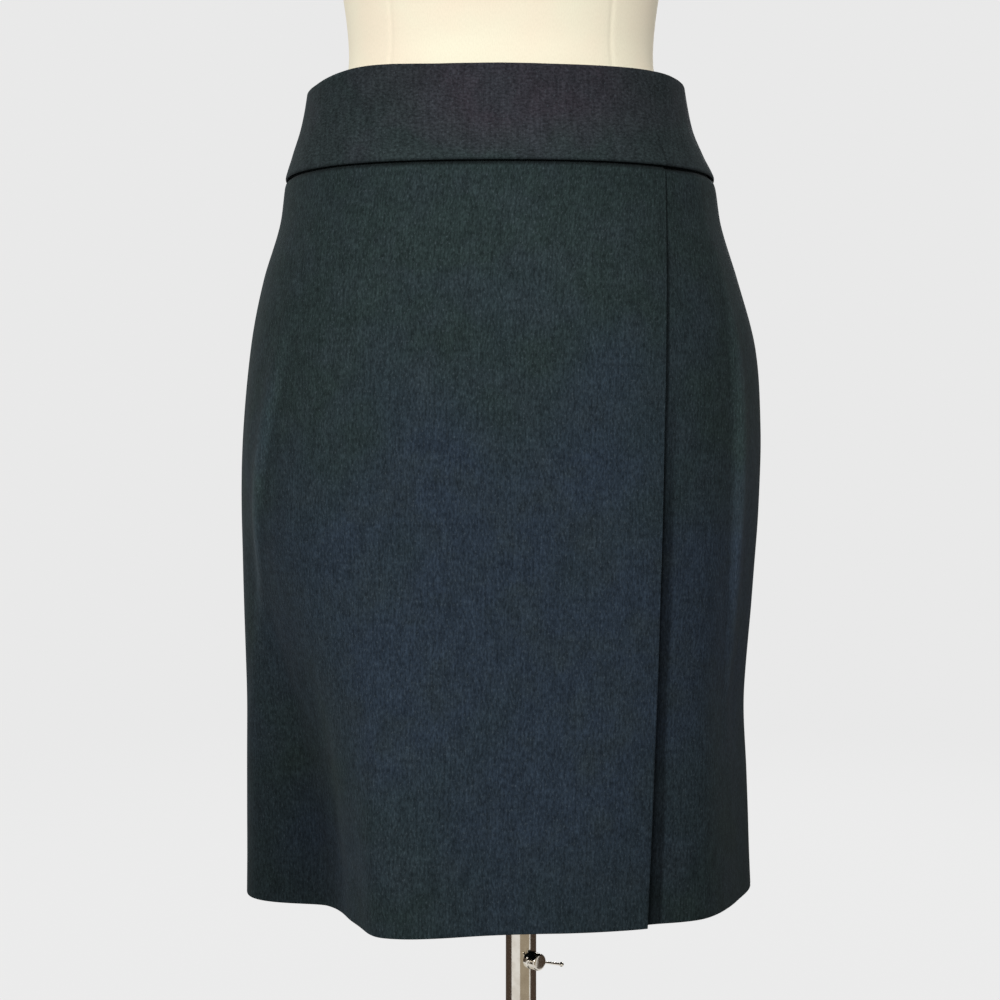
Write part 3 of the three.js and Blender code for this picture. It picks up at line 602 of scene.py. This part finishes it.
# %% Ovals of the form
# height, half-width, front, back, centre, squareness
FORM_SECTIONS = np.array([
    (715, 160, 110, 108, 12, 2.2), (760, 168, 118, 112, 10, 2.25), (800, 173, 124, 114, 8.5, 2.25),
    (835, 177, 130, 116, 7.5, 2.3), (865, 179, 134, 118, 7, 2.35), (890, 178, 134, 118, 6.5, 2.4),
    (915, 166, 124, 108, 6, 2.4), (932, 156, 113, 100, 5, 2.4), (965, 140, 99, 88, 2.5, 2.4),
    (990, 126.5, 90, 82, 0.7, 2.35), (1015, 116, 85, 79, 0, 2.3), (1040, 113.5, 84, 78, 0, 2.25),
    (1082, 118, 90, 80, 0, 2.2), (1120, 126, 100, 84, 0, 2.2), (1165, 137, 114, 89, 0, 2.15),
    (1190, 142, 122, 92, 0, 2.1), (1215, 146, 125, 95, 0.5, 2.1), (1240, 150, 121, 97, 1.5, 2.15),
    (1275, 156, 108, 98, 3, 2.2), (1330, 169, 89, 93, 6, 2.3), (1362, 174, 78, 86, 8, 2.3),
    (1385, 168, 71, 80, 9, 2.25), (1402, 150, 66, 74, 9, 2.15), (1416, 122, 62, 69, 8, 2.05),
    (1428, 93, 59, 64, 7, 2), (1440, 70, 56, 58, 5, 2), (1456, 59, 54, 54, 3, 2),
    (1472, 55, 51, 51, 1, 2), (1480, 49, 45, 45, 0, 2),
])
FORM_BOTTOM, FORM_TOP = FORM_SECTIONS[0, 0], FORM_SECTIONS[-1, 0]
REST_GAP = 0.4
SEAM_ANGLES = (-140, -90, -50, 50, 90, 140, 180)
SEAM_WIDTH, SEAM_GROOVE = 0.7, 0.55
ZIP_TAPE_DEPTH = BAND_CLOTH + SEAM_DITCH + 0.4
ZIP_TAPE_THICKNESS = 1


def soft_min(a, b, softness):
    """The lesser of two numbers, with a soft step from one to the other."""
    return -softness * np.logaddexp(-a / softness, -b / softness)


def form_depth(line, height):
    """How deep under the skirt's face the form may reach: it stays clear of each layer of cloth there."""
    layers = REST_GAP + np.where(height < BAND_SEAM, CLOTH + body_dip(height), BAND_CLOTH)
    layers = layers + 3.4 * np.exp(-((height - BAND_SEAM) / 7) ** 2)
    behind = under_depth(line, height) * smoothstep(line, 2, UNDERLAP_LINE - 1)
    behind = np.where((line > 0) & (line < 90), behind, 0)
    away = 180 - np.abs(line)
    zip_room = (ZIP_TAPE_DEPTH + ZIP_TAPE_THICKNESS - CLOTH) * (1 - smoothstep(away, 7, 20))
    return layers + behind + zip_room


def form_point(line, height):
    """Points on the form's cover, in millimetres from the skirt's axis."""
    width, front, back, centre, squareness = on_curve(FORM_SECTIONS, height)
    skirt_centre = on_curve(SKIRT_SECTIONS, height)[4]
    low = height <= BAND_TOP
    centre = np.where(low, skirt_centre, centre)
    inner_height = np.minimum(height, BAND_TOP)
    inside = skirt_point(line_angle(line, inner_height), inner_height, form_depth(line, inner_height))
    across, ahead = inside[:, 0], skirt_centre - inside[:, 1]
    angle = np.where(low, np.arctan2(across, ahead), np.radians(line_angle(line, height)))
    own = outline_radius(width, width, front, back, squareness, angle)
    radius = np.where(low, soft_min(own, np.hypot(across, ahead), 1.2), own)
    groove = sum(np.exp(-0.5 * (turn_between(np.degrees(angle), seam) / SEAM_WIDTH) ** 2) for seam in SEAM_ANGLES)
    radius = radius - SEAM_GROOVE * groove * smoothstep(height, 1000, 1012)
    return np.stack([radius * np.sin(angle), centre - radius * np.cos(angle), height], axis=1)


# %% [markdown]
# ## Cotton jersey
# Unbleached jersey is matt and slightly uneven in tone: warm cream with faint peach and pale patches. Its fine
# knit, with wales about 0.8 mm apart, shows only as a soft grain. A smooth shader would look like moulded foam.

# %% Jersey material
WALE = (0.8, 2.4)
JERSEY_PATCH = 60 * MM


def jersey():
    """Cream cotton jersey."""
    sockets = {"Roughness": 0.85, "Specular IOR Level": 0.2, "Sheen Weight": 0.12, "Sheen Roughness": 0.5,
               "Sheen Tint": linear("fff8e8")}
    material, tree, shader = new_material("cream_cotton_jersey", sockets)
    places = add_node(tree, "ShaderNodeTexCoord")
    patch_sockets = {"Vector": places.outputs["Object"], "Scale": 1 / JERSEY_PATCH, "Detail": 3.0}
    patch = add_node(tree, "ShaderNodeTexNoise", None, patch_sockets).outputs["Fac"]
    warm = mix_colours(tree, spread(tree, patch, 0.35, 0.65, 0, 1), linear("f5efd6"), linear("f7ead2"))
    uv = add_node(tree, "ShaderNodeUVMap", {"uv_map": "grain"}).outputs["UV"]
    knit = grains(tree, uv, WALE)
    colour = mix_colours(tree, spread(tree, knit, 0.3, 0.7, 0.18, 0), warm, linear("d9cfb4"))
    tree.links.new(colour, shader.inputs["Base Color"])
    bump = add_node(tree, "ShaderNodeBump", None, {"Height": knit, "Strength": 0.35, "Distance": 0.2 * MM})
    tree.links.new(bump.outputs["Normal"], shader.inputs["Normal"])
    return material


JERSEY = jersey()

# %% [markdown]
# ## Closing the torso
# The grid goes once round the body, so its first and last columns are merged. The neck ends in a flat cap and
# the base in a flat board: each rim is extruded, drawn in and moved a little, and the opening left is filled.

# %% Form body
SOCKET_RADIUS = 9.9


def form_columns():
    """Lines round the form, closer together beside each seam."""
    lines = np.arange(-180, 180, 2.4)
    at_seams = np.interp(SEAM_ANGLES[:-1], line_angle(lines, np.full(lines.shape, BAND_SEAM)), lines)
    extra = [seam + step for seam in at_seams for step in (-1.8, -1.1, -0.55, 0, 0.55, 1.1, 1.8)]
    extra += [-180 + step for step in (0.55, 1.1, 1.8)] + [180 - step for step in (0.55, 1.1, 1.8)]
    kept = [line for line in lines if min(abs(line - x) for x in extra) > 0.5]
    return np.array(sorted([*kept, *extra, 180.0]))


def rim_loops(bm, height):
    """The edges of an open rim at a height."""
    return [edge for edge in bm.edges if edge.is_boundary and all(abs(v.co.z - height) < 1e-6 for v in edge.verts)]


def form_mesh():
    """The torso as one closed skin."""
    rows = np.concatenate([steps(FORM_BOTTOM, 1400, 6), steps(1404, FORM_TOP, 3)])
    bm = grid_mesh(form_columns(), rows, lambda line, row: to_frame(form_point(line, row)))
    bmesh.ops.remove_doubles(bm, verts=bm.verts, dist=0.02 * MM)
    for height, inset, drop in ((FORM_TOP, 5, 3), (FORM_BOTTOM, 5, -3)):
        rim = rim_loops(bm, height * MM)
        made = bmesh.ops.extrude_edge_only(bm, edges=rim)["geom"]
        ring = [item for item in made if isinstance(item, bmesh.types.BMVert)]
        middle = sum((vert.co for vert in ring), Vector()) / len(ring)
        for vert in ring:
            inward = (middle - vert.co).normalized()
            vert.co += inward * inset * MM + Vector((0, 0, drop * MM))
    return bm


bm = form_mesh()
for height in (FORM_TOP + 3, FORM_BOTTOM - 3):
    rim = rim_loops(bm, height * MM)
    bmesh.ops.holes_fill(bm, edges=rim, sides=0)
bmesh.ops.recalc_face_normals(bm, faces=bm.faces)
form_cover = add_piece("jersey_form_cover", bm, JERSEY, "form", "form_body")
print("form cover:", len(form_cover.data.polygons), "faces")

# %% [markdown]
# ## Chrome and enamel
# The pole, the clamp and the hub are steel tube and bar, turned and chrome-plated: bright, hard reflections with
# a faint warm cast. The foot is a steel plate with a black stove enamel that is smooth with a fine orange peel.

# %% Metal and enamel materials


def chrome():
    """Chrome-plated steel."""
    sockets = {"Metallic": 1.0, "Roughness": 0.12}
    material, tree, shader = new_material("chrome_plated_steel", sockets)
    places = add_node(tree, "ShaderNodeTexCoord")
    haze = add_node(tree, "ShaderNodeTexNoise", None,
                    {"Vector": places.outputs["Object"], "Scale": 1 / (8 * MM), "Detail": 3.0}).outputs["Fac"]
    colour = mix_colours(tree, spread(tree, haze, 0.4, 0.6, 0, 1), linear("e8e3d9"), linear("dcd5c9"))
    tree.links.new(colour, shader.inputs["Base Color"])
    tree.links.new(spread(tree, haze, 0.3, 0.7, 0.07, 0.16), shader.inputs["Roughness"])
    return material


def enamel():
    """Black stove enamel on a steel plate."""
    sockets = {"Roughness": 0.38, "Coat Weight": 0.3, "Coat Roughness": 0.2}
    material, tree, shader = new_material("black_stove_enamel", sockets)
    places = add_node(tree, "ShaderNodeTexCoord")
    peel = add_node(tree, "ShaderNodeTexNoise", None,
                    {"Vector": places.outputs["Object"], "Scale": 1 / (2.5 * MM), "Detail": 1.0}).outputs["Fac"]
    colour = mix_colours(tree, spread(tree, peel, 0.3, 0.7, 0, 1), linear("242425"), linear("2a2a2b"))
    tree.links.new(colour, shader.inputs["Base Color"])
    bump = add_node(tree, "ShaderNodeBump", None, {"Height": peel, "Strength": 0.2, "Distance": 0.05 * MM})
    tree.links.new(bump.outputs["Normal"], shader.inputs["Normal"])
    return material


CHROME = chrome()
ENAMEL = enamel()

# %% [markdown]
# ## Turned pieces
# The stand's pieces come off a lathe, and the spin operator is a lathe: it turns a profile of radii and heights
# round an axis. A cylinder with bevelled ends would do for the tube, but not for the hub or the ball ends.

# %% Lathe
TURN_STEPS = 64


def turned(profile, steps_round=TURN_STEPS):
    """A shape turned round Z; the profile holds radius and height in millimetres, from first to last point."""
    bm = bmesh.new()
    verts = [bm.verts.new((radius * MM, 0, height * MM)) for radius, height in profile]
    edges = [bm.edges.new(pair) for pair in zip(verts, verts[1:])]
    bmesh.ops.spin(bm, geom=verts + edges, cent=(0, 0, 0), axis=(0, 0, 1), angle=math.tau,
                   steps=steps_round, use_merge=True)
    bmesh.ops.remove_doubles(bm, verts=bm.verts, dist=0.001 * MM)
    bmesh.ops.recalc_face_normals(bm, faces=bm.faces)
    return bm


def arc(radius, height, size, start, end, count=5):
    """Points of an arc in a profile, with angles in degrees from the outward direction."""
    angles = np.radians(np.linspace(start, end, count))
    return [(radius + size * math.cos(a), height + size * math.sin(a)) for a in angles]


def metal_piece(name, bm, material, slot, body, *nodes):
    """A metal piece whose sharp edges stay sharp."""
    piece = add_piece(name, bm, material, body, *nodes)
    piece.data.set_sharp_from_angle(angle=math.radians(35))
    return piece


# %% [markdown]
# ## Foot, hub, tube and rod
# The foot is a flat disc with a rounded rim, the hub a small cone on it. The tube stands in the hub, and the
# rod that carries the torso slides in the tube. All have the sizes of the plain solids that they replace.

# %% Stand pieces
BASE_RADIUS, BASE_THICKNESS = 175, 9
TUBE_RADIUS, TUBE_BORE_RADIUS, TUBE_TOP = 11.4, 9.9, 392
ROD_RADIUS, ROD_BOTTOM, ROD_TOP = 9.5, 150, 838
HUB_RADIUS, HUB_TOP = 27, 40
PART_GAP = 0.3
plate_profile = [(0, 0), (BASE_RADIUS - 1, 0), *arc(BASE_RADIUS - 3, 3, 3, -60, 90, 8),
                 (BASE_RADIUS / 3, BASE_THICKNESS), (0, BASE_THICKNESS)]
metal_piece("enamel_base_plate", turned(plate_profile, 128), ENAMEL, "base_enamel", "stand", "base_plate")
low = BASE_THICKNESS + PART_GAP
bore = TUBE_RADIUS + PART_GAP
hub_profile = [(bore, low), (HUB_RADIUS, low), *arc(HUB_RADIUS - 1.5, low + 3, 1.5, 0, 60, 4),
               (HUB_RADIUS - 8, HUB_TOP - 4), *arc(HUB_RADIUS - 12.5, HUB_TOP - 1.5, 1.5, 20, 90, 4),
               (bore, HUB_TOP), (bore, low)]
metal_piece("chrome_base_hub", turned(hub_profile), CHROME, "chrome_steel", "stand", "base_hub")
rod_profile = [(0, ROD_BOTTOM), (ROD_RADIUS - 0.6, ROD_BOTTOM), (ROD_RADIUS, ROD_BOTTOM + 0.6),
               (ROD_RADIUS, ROD_TOP - 0.6), (ROD_RADIUS - 0.6, ROD_TOP), (0, ROD_TOP)]
metal_piece("chrome_rod", turned(rod_profile), CHROME, "chrome_steel", "rod", "rod")
print("stand: foot", 2 * BASE_RADIUS, "mm, tube top at", TUBE_TOP, "mm")

# %% [markdown]
# ## Tube and clamp
# A boss on the tube holds a screw that pinches the rod. A thin bar with ball ends slides through the screw's
# head and serves as its handle. Each is turned lying along its own axis, then swung to where it faces.

# %% Clamp
CLAMP_HEIGHT, CLAMP_TURN = 365, math.radians(-50)
BOSS_RADIUS, BOSS_REACH = 6.5, 13.6
SCREW_RADIUS, SCREW_TIP, HEAD_RADIUS, HEAD_END = 3, 9.9, 6.2, 21.8
BAR_REACH, BAR_RADIUS, BAR_BALL_RADIUS, BAR_LOW_END = 17.8, 1, 1.8, 25.7
BAR_DROP = math.radians(15.8)
to_clamp = (Matrix.Translation((0, 0, CLAMP_HEIGHT * MM)) @ Matrix.Rotation(CLAMP_TURN, 4, "Z")
            @ Matrix.Rotation(math.radians(90), 4, "Y"))
to_bar = (Matrix.Translation((0, 0, CLAMP_HEIGHT * MM)) @ Matrix.Rotation(CLAMP_TURN, 4, "Z")
          @ Matrix.Translation((BAR_REACH * MM, 0, 0)) @ Matrix.Rotation(-BAR_DROP, 4, "X")
          @ Matrix.Rotation(math.radians(-90), 4, "X"))


def placed(bm, matrix):
    """Swings a turned shape to its place."""
    bmesh.ops.transform(bm, matrix=matrix, verts=bm.verts)
    return bm


tube_profile = [(TUBE_BORE_RADIUS, low), (TUBE_RADIUS, low), (TUBE_RADIUS, TUBE_TOP - 0.5),
                (TUBE_RADIUS - 0.5, TUBE_TOP), (TUBE_BORE_RADIUS + 0.2, TUBE_TOP),
                (TUBE_BORE_RADIUS, TUBE_TOP - 0.2), (TUBE_BORE_RADIUS, low)]
tube = metal_piece("chrome_tube", turned(tube_profile), CHROME, "chrome_steel", "stand", "stand_tube")
boss_profile = [(SCREW_RADIUS + 0.4, 10.8), (BOSS_RADIUS, 10.0), (BOSS_RADIUS, BOSS_REACH - 0.6),
                (BOSS_RADIUS - 0.6, BOSS_REACH), (SCREW_RADIUS + 0.4, BOSS_REACH), (SCREW_RADIUS + 0.4, 10.8)]
metal_piece("chrome_clamp_boss", placed(turned(boss_profile, 48), to_clamp), CHROME, "chrome_steel", "stand")
head_low = BOSS_REACH + PART_GAP
screw_profile = [(0, SCREW_TIP), (SCREW_RADIUS - 0.4, SCREW_TIP), (SCREW_RADIUS, SCREW_TIP + 0.4),
                 (SCREW_RADIUS, head_low), (HEAD_RADIUS - 0.8, head_low), (HEAD_RADIUS, head_low + 0.8),
                 *arc(HEAD_RADIUS - 1.6, HEAD_END - 1.6, 1.6, 0, 90, 6), (0, HEAD_END)]
metal_piece("chrome_clamp_screw", placed(turned(screw_profile, 48), to_clamp), CHROME, "chrome_steel",
            "clamp_screw", "clamp_screw")
bar_high = -(HEAD_RADIUS + BAR_BALL_RADIUS + PART_GAP)
neck = math.degrees(math.asin(BAR_RADIUS / BAR_BALL_RADIUS))
bar_profile = [*arc(0, bar_high, BAR_BALL_RADIUS, -90, 90 - neck, 9),
               *arc(0, BAR_LOW_END, BAR_BALL_RADIUS, neck - 90, 90, 9)]
metal_piece("chrome_clamp_bar", placed(turned(bar_profile, 32), to_bar), CHROME, "chrome_steel",
            "clamp_bar", "clamp_bar")
print("clamp at", CLAMP_HEIGHT, "mm")

# %% [markdown]
# ## The zip
# A concealed zip closes the centre back: only its slider and pull show, at the top of the band. The woven tapes
# and the nylon coil lie behind the seam. The slider is a small cast block with two cheeks that hold a pin, and
# the pull is a stamped drop that hangs on the pin. Small bevelled blocks give the slider, and an extruded outline with
# bevelled rims and a turned eye gives the pull.

# %% Zip materials
TAPE_RIB = (0.5, 1.5)


def zip_tape_material():
    """Woven polyester tape, matt and nearly black."""
    material, tree, shader = new_material("woven_polyester_tape", {"Roughness": 0.8, "Specular IOR Level": 0.2})
    uv = add_node(tree, "ShaderNodeUVMap", {"uv_map": "grain"}).outputs["UV"]
    weave = grains(tree, uv, TAPE_RIB, 1.0)
    colour = mix_colours(tree, spread(tree, weave, 0.3, 0.7, 0, 1), linear("191d21"), linear("262c31"))
    tree.links.new(colour, shader.inputs["Base Color"])
    return material


def zip_metal_material():
    """Cast zinc with a dark paint that matches the cloth."""
    material, tree, shader = new_material("painted_cast_zinc", {"Metallic": 0.4, "Roughness": 0.36})
    places = add_node(tree, "ShaderNodeTexCoord")
    worn = add_node(tree, "ShaderNodeTexNoise", None,
                    {"Vector": places.outputs["Object"], "Scale": 1 / (1.5 * MM), "Detail": 3.0}).outputs["Fac"]
    colour = mix_colours(tree, spread(tree, worn, 0.5, 0.75, 0, 1), linear("23282d"), linear("3a4147"))
    tree.links.new(colour, shader.inputs["Base Color"])
    return material


ZIP_TAPE = zip_tape_material()
ZIP_METAL = zip_metal_material()

# %% Zip tape and coil
ZIP_BOTTOM, ZIP_TOP = 790, 1005
COIL_PITCH = 1.3


def tape_point(line, height):
    """Points of the tape, behind the centre back seam."""
    return to_frame(skirt_point(line, height, ZIP_TAPE_DEPTH + 2.2 * np.exp(-((height - BAND_SEAM) / 7) ** 2)))


tape = add_piece("polyester_zip_tape", grid_mesh(steps(174, 186, 0.8), steps(ZIP_BOTTOM, ZIP_TOP, 4), tape_point),
                 ZIP_TAPE, "form", "zip_tape")
thicken(tape, 0.6 * MM, 0.15 * MM)
bm = bmesh.new()
for number, height in enumerate(np.arange(ZIP_BOTTOM + 2, ZIP_TOP - 2, COIL_PITCH)):
    centre = Vector(to_frame(skirt_point(np.array([180.0]), np.array([height]), ZIP_TAPE_DEPTH + 0.9))[0])
    centre.x += (0.7 if number % 2 else -0.7) * MM
    loop = bmesh.ops.create_cube(bm, size=1)["verts"]
    bmesh.ops.scale(bm, verts=loop, vec=(2.2 * MM, 0.5 * MM, 0.6 * MM))
    bmesh.ops.translate(bm, verts=loop, vec=centre)
coil = add_piece("nylon_zip_coil", bm, ZIP_TAPE, "form")
print("zip coil:", len(coil.data.polygons) // 6, "turns")

# %% Zip slider and pull
SLIDER_HEIGHT, SLIDER_WIDTH, SLIDER_LENGTH = 1000, 5, 9
SLIDER_SEAT, SLIDER_FACE = 0.6, 2
PULL_LENGTH, PULL_WIDTH, PULL_THICKNESS, PULL_END_GAP = 24, 5.6, 1.2, 1.3
PIN_OUT, PIN_RADIUS, EYE_RADIUS, EYE_BORE, EYE_HALF, CHEEK_WIDTH = 3.9, 0.5, 1.5, 0.85, 1.2, 0.8


def back_face(height):
    """The cloth's outer face at the centre back."""
    at = np.array([float(height)])
    return skirt_point(np.array([180.0]), at, band_depth(at))[0]


seat = back_face(SLIDER_HEIGHT)
lean = math.atan2(back_face(SLIDER_HEIGHT - PULL_LENGTH)[1] - seat[1], PULL_LENGTH)
swing = math.atan2(PIN_OUT - PULL_THICKNESS / 2 - PULL_END_GAP, PULL_LENGTH)
to_slider = Matrix.Translation(to_frame(seat[None])[0]) @ Matrix.Rotation(lean, 4, "X")
to_pull = to_slider @ Matrix.Translation((0, PIN_OUT * MM, 0)) @ Matrix.Rotation(-swing, 4, "X")


def add_block(bm, low, high, bevel):
    """Adds a block between two corners, in millimetres, with round edges."""
    verts = bmesh.ops.create_cube(bm, size=1)["verts"]
    bmesh.ops.scale(bm, verts=verts, vec=[(b - a) * MM for a, b in zip(low, high)])
    bmesh.ops.translate(bm, verts=verts, vec=[(a + b) / 2 * MM for a, b in zip(low, high)])
    edges = list({edge for vert in verts for edge in vert.link_edges})
    bmesh.ops.bevel(bm, geom=edges, offset=bevel * MM, affect="EDGES", segments=3, profile=0.5, material=-1)


def add_pin(bm, radius, half, out):
    """Adds a round bar along X, in millimetres."""
    turn = Matrix.Translation((0, out * MM, 0)) @ Matrix.Rotation(math.radians(90), 4, "Y")
    bmesh.ops.create_cone(bm, cap_ends=True, segments=24, radius1=radius * MM, radius2=radius * MM,
                          depth=2 * half * MM, matrix=turn)


bm = bmesh.new()
half = SLIDER_WIDTH / 2
cheek_in = EYE_HALF + PART_GAP
add_block(bm, (-half, SLIDER_SEAT, -SLIDER_LENGTH / 2), (half, SLIDER_FACE, SLIDER_LENGTH / 2), 0.5)
for side in (-1, 1):
    ends = sorted((side * cheek_in, side * (cheek_in + CHEEK_WIDTH)))
    add_block(bm, (ends[0], SLIDER_FACE - 0.4, -1.2), (ends[1], PIN_OUT + 1, 1.2), 0.3)
add_pin(bm, PIN_RADIUS, cheek_in + CHEEK_WIDTH / 2, PIN_OUT)
metal_piece("zinc_zip_slider", placed(bm, to_slider), ZIP_METAL, "zip_metal", "form", "zip_slider")

# %% Pull tab
bm = bmesh.new()
round_end = PULL_WIDTH / 2
outline = [(-EYE_HALF, -1.2), (-EYE_HALF, -2.5)]
outline += [(-round_end * math.cos(a), -PULL_LENGTH + round_end - round_end * math.sin(a))
            for a in np.linspace(0, math.pi, 17)]
outline += [(EYE_HALF, -2.5), (EYE_HALF, -1.2)]
front = PULL_THICKNESS / 2
blade = bm.faces.new([bm.verts.new((x * MM, -front * MM, z * MM)) for x, z in outline])
rise = bmesh.ops.extrude_face_region(bm, geom=[blade])["geom"]
bmesh.ops.translate(bm, verts=[v for v in rise if isinstance(v, bmesh.types.BMVert)],
                    vec=(0, PULL_THICKNESS * MM, 0))
bmesh.ops.recalc_face_normals(bm, faces=bm.faces)
rims = [edge for edge in bm.edges if edge.calc_face_angle(0) > 1]
bmesh.ops.bevel(bm, geom=rims, offset=0.25 * MM, affect="EDGES", segments=2, profile=0.5, material=-1)
eye = turned([(EYE_BORE, -EYE_HALF), (EYE_RADIUS - 0.2, -EYE_HALF), (EYE_RADIUS, -EYE_HALF + 0.2),
              (EYE_RADIUS, EYE_HALF - 0.2), (EYE_RADIUS - 0.2, EYE_HALF), (EYE_BORE, EYE_HALF),
              (EYE_BORE, -EYE_HALF)], 32)
placed(eye, Matrix.Rotation(math.radians(90), 4, "Y"))
eye_mesh = bpy.data.meshes.new("eye")
eye.to_mesh(eye_mesh)
eye.free()
bm.from_mesh(eye_mesh)
bpy.data.meshes.remove(eye_mesh)
metal_piece("zinc_zip_pull", placed(bm, to_pull), ZIP_METAL, "zip_metal", "zip_pull", "zip_pull")

# %% [markdown]
# ## What the sheets were cut to
# A cutter lays each panel flat. The area is that of the sheet before it is thickened, the length is its height,
# and the width is the area over the length.

# %% Sizes of the cloth sheets
for piece, rests_on in ((front_panel, ["jersey_form_cover"]), (under_panel, ["jersey_form_cover"]),
                        (back_right, ["jersey_form_cover"]), (back_left, ["jersey_form_cover"]),
                        (band_front, ["jersey_form_cover"]), (band_right, ["jersey_form_cover"]),
                        (band_left, ["jersey_form_cover"])):
    area, width, length = sheet_size(piece)

# %% [markdown]
# ## Studio
# A plain pale floor runs up into a wall all round, so the background stays even from any side. A bowl is
# simpler than a floor with separate walls, and has no corner to show. It glows softly, as a well-lit studio
# does, and takes a faint shadow.

# %% Floor and wall
BACKDROP_RADIUS, BACKDROP_CURVE, BACKDROP_HEIGHT = 4600, 1200, 4200
bm = turned([(0, -0.5), (BACKDROP_RADIUS - BACKDROP_CURVE, -0.5),
             *arc(BACKDROP_RADIUS - BACKDROP_CURVE, BACKDROP_CURVE - 0.5, BACKDROP_CURVE, -90, 0, 16),
             (BACKDROP_RADIUS, BACKDROP_HEIGHT)], 96)
backdrop_mesh = bpy.data.meshes.new("backdrop")
bm.to_mesh(backdrop_mesh)
bm.free()
backdrop_mesh.shade_smooth()
backdrop = bpy.data.objects.new("backdrop", backdrop_mesh)
bpy.context.collection.objects.link(backdrop)
paper, paper_tree, paper_shader = new_material("pale_studio_paper", {
    "Base Color": linear("2c2c2c"), "Roughness": 1.0, "Specular IOR Level": 0.0,
    "Emission Color": linear("eaeaea"), "Emission Strength": 0.98})
paper.cycles.emission_sampling = "NONE"
backdrop_mesh.materials.append(paper)
backdrop.visible_diffuse = False

# %% [markdown]
# ## Light
# Large soft boxes in front, above and to both sides give the even light of a shop photograph. The side boxes
# light the sides a little; the faint pale stripe down each side of the skirt is a painted highlight in the wool's
# colour over a pressed ridge.

# %% Lights


def soft_box(name, place, aim, size, power, tint="ffffff"):
    """A rectangular soft light at a place, turned towards a point."""
    data = bpy.data.lights.new(name, "AREA")
    data.shape = "RECTANGLE"
    data.size, data.size_y = size
    data.energy = power
    data.color = linear(tint)[:3]
    light = bpy.data.objects.new(name, data)
    light.location = place
    light.rotation_euler = (Vector(aim) - Vector(place)).to_track_quat("-Z", "Y").to_euler()
    bpy.context.collection.objects.link(light)
    return light


soft_box("front_box", (-0.6, -2.6, 1.8), (0, 0, 0.8), (0.9, 1.2), 62)
soft_box("left_box", (-1.3, -0.7, 1.9), (0, 0, 0.9), (0.7, 0.8), 4)
soft_box("right_box", (1.3, -0.7, 2.2), (0, 0, 1.05), (0.7, 0.8), 8)
soft_box("back_box", (0.5, 2.6, 1.8), (0, 0, 0.8), (0.9, 1.2), 45)
soft_box("back_left_box", (-1.8, 1.5, 1.5), (0, 0, 0.8), (0.8, 1.4), 14)
soft_box("back_right_box", (1.8, 1.5, 1.5), (0, 0, 0.8), (0.8, 1.4), 8)
world = bpy.data.worlds.new("studio")
world.use_nodes = True
world.node_tree.nodes["Background"].inputs["Color"].default_value = linear("eaeaea")
world.node_tree.nodes["Background"].inputs["Strength"].default_value = 0.26
bpy.context.scene.world = world
bpy.context.scene.view_settings.view_transform = "Standard"

# %% [markdown]
# ## Room seen in the chrome
# Chrome shows the room and not the studio paper: dark brown at the sides, a window on the left. Curved cards
# that only reflections see give it that, and they throw no shadow on the cloth.

# %% Reflection cards
CARD_RADIUS = 800


def reflection_card(name, start, end, low, high, colour):
    """A card bent round the pole, from one compass angle to another, in degrees from the front."""
    bm = bmesh.new()
    first = [bm.verts.new((CARD_RADIUS * MM * math.sin(math.radians(start)),
                           -CARD_RADIUS * MM * math.cos(math.radians(start)), z * MM)) for z in (low, high)]
    edge = bm.edges.new(first)
    bmesh.ops.spin(bm, geom=first + [edge], cent=(0, 0, 0), axis=(0, 0, 1), angle=math.radians(end - start),
                   steps=max(4, int((end - start) / 5)))
    mesh = bpy.data.meshes.new(name)
    bm.to_mesh(mesh)
    bm.free()
    card = bpy.data.objects.new(name, mesh)
    bpy.context.collection.objects.link(card)
    material, _, _ = new_material(name + "_paint", {
        "Base Color": linear("000000"), "Specular IOR Level": 0.0, "Emission Color": linear(colour),
        "Emission Strength": 1.0})
    material.cycles.emission_sampling = "NONE"
    mesh.materials.append(material)
    card.visible_camera = card.visible_diffuse = card.visible_shadow = False
    return card


reflection_card("card_side_and_back", 74, 284, 2, 620, "4a3f37")
reflection_card("card_front", -8, 64, 2, 620, "a39886")
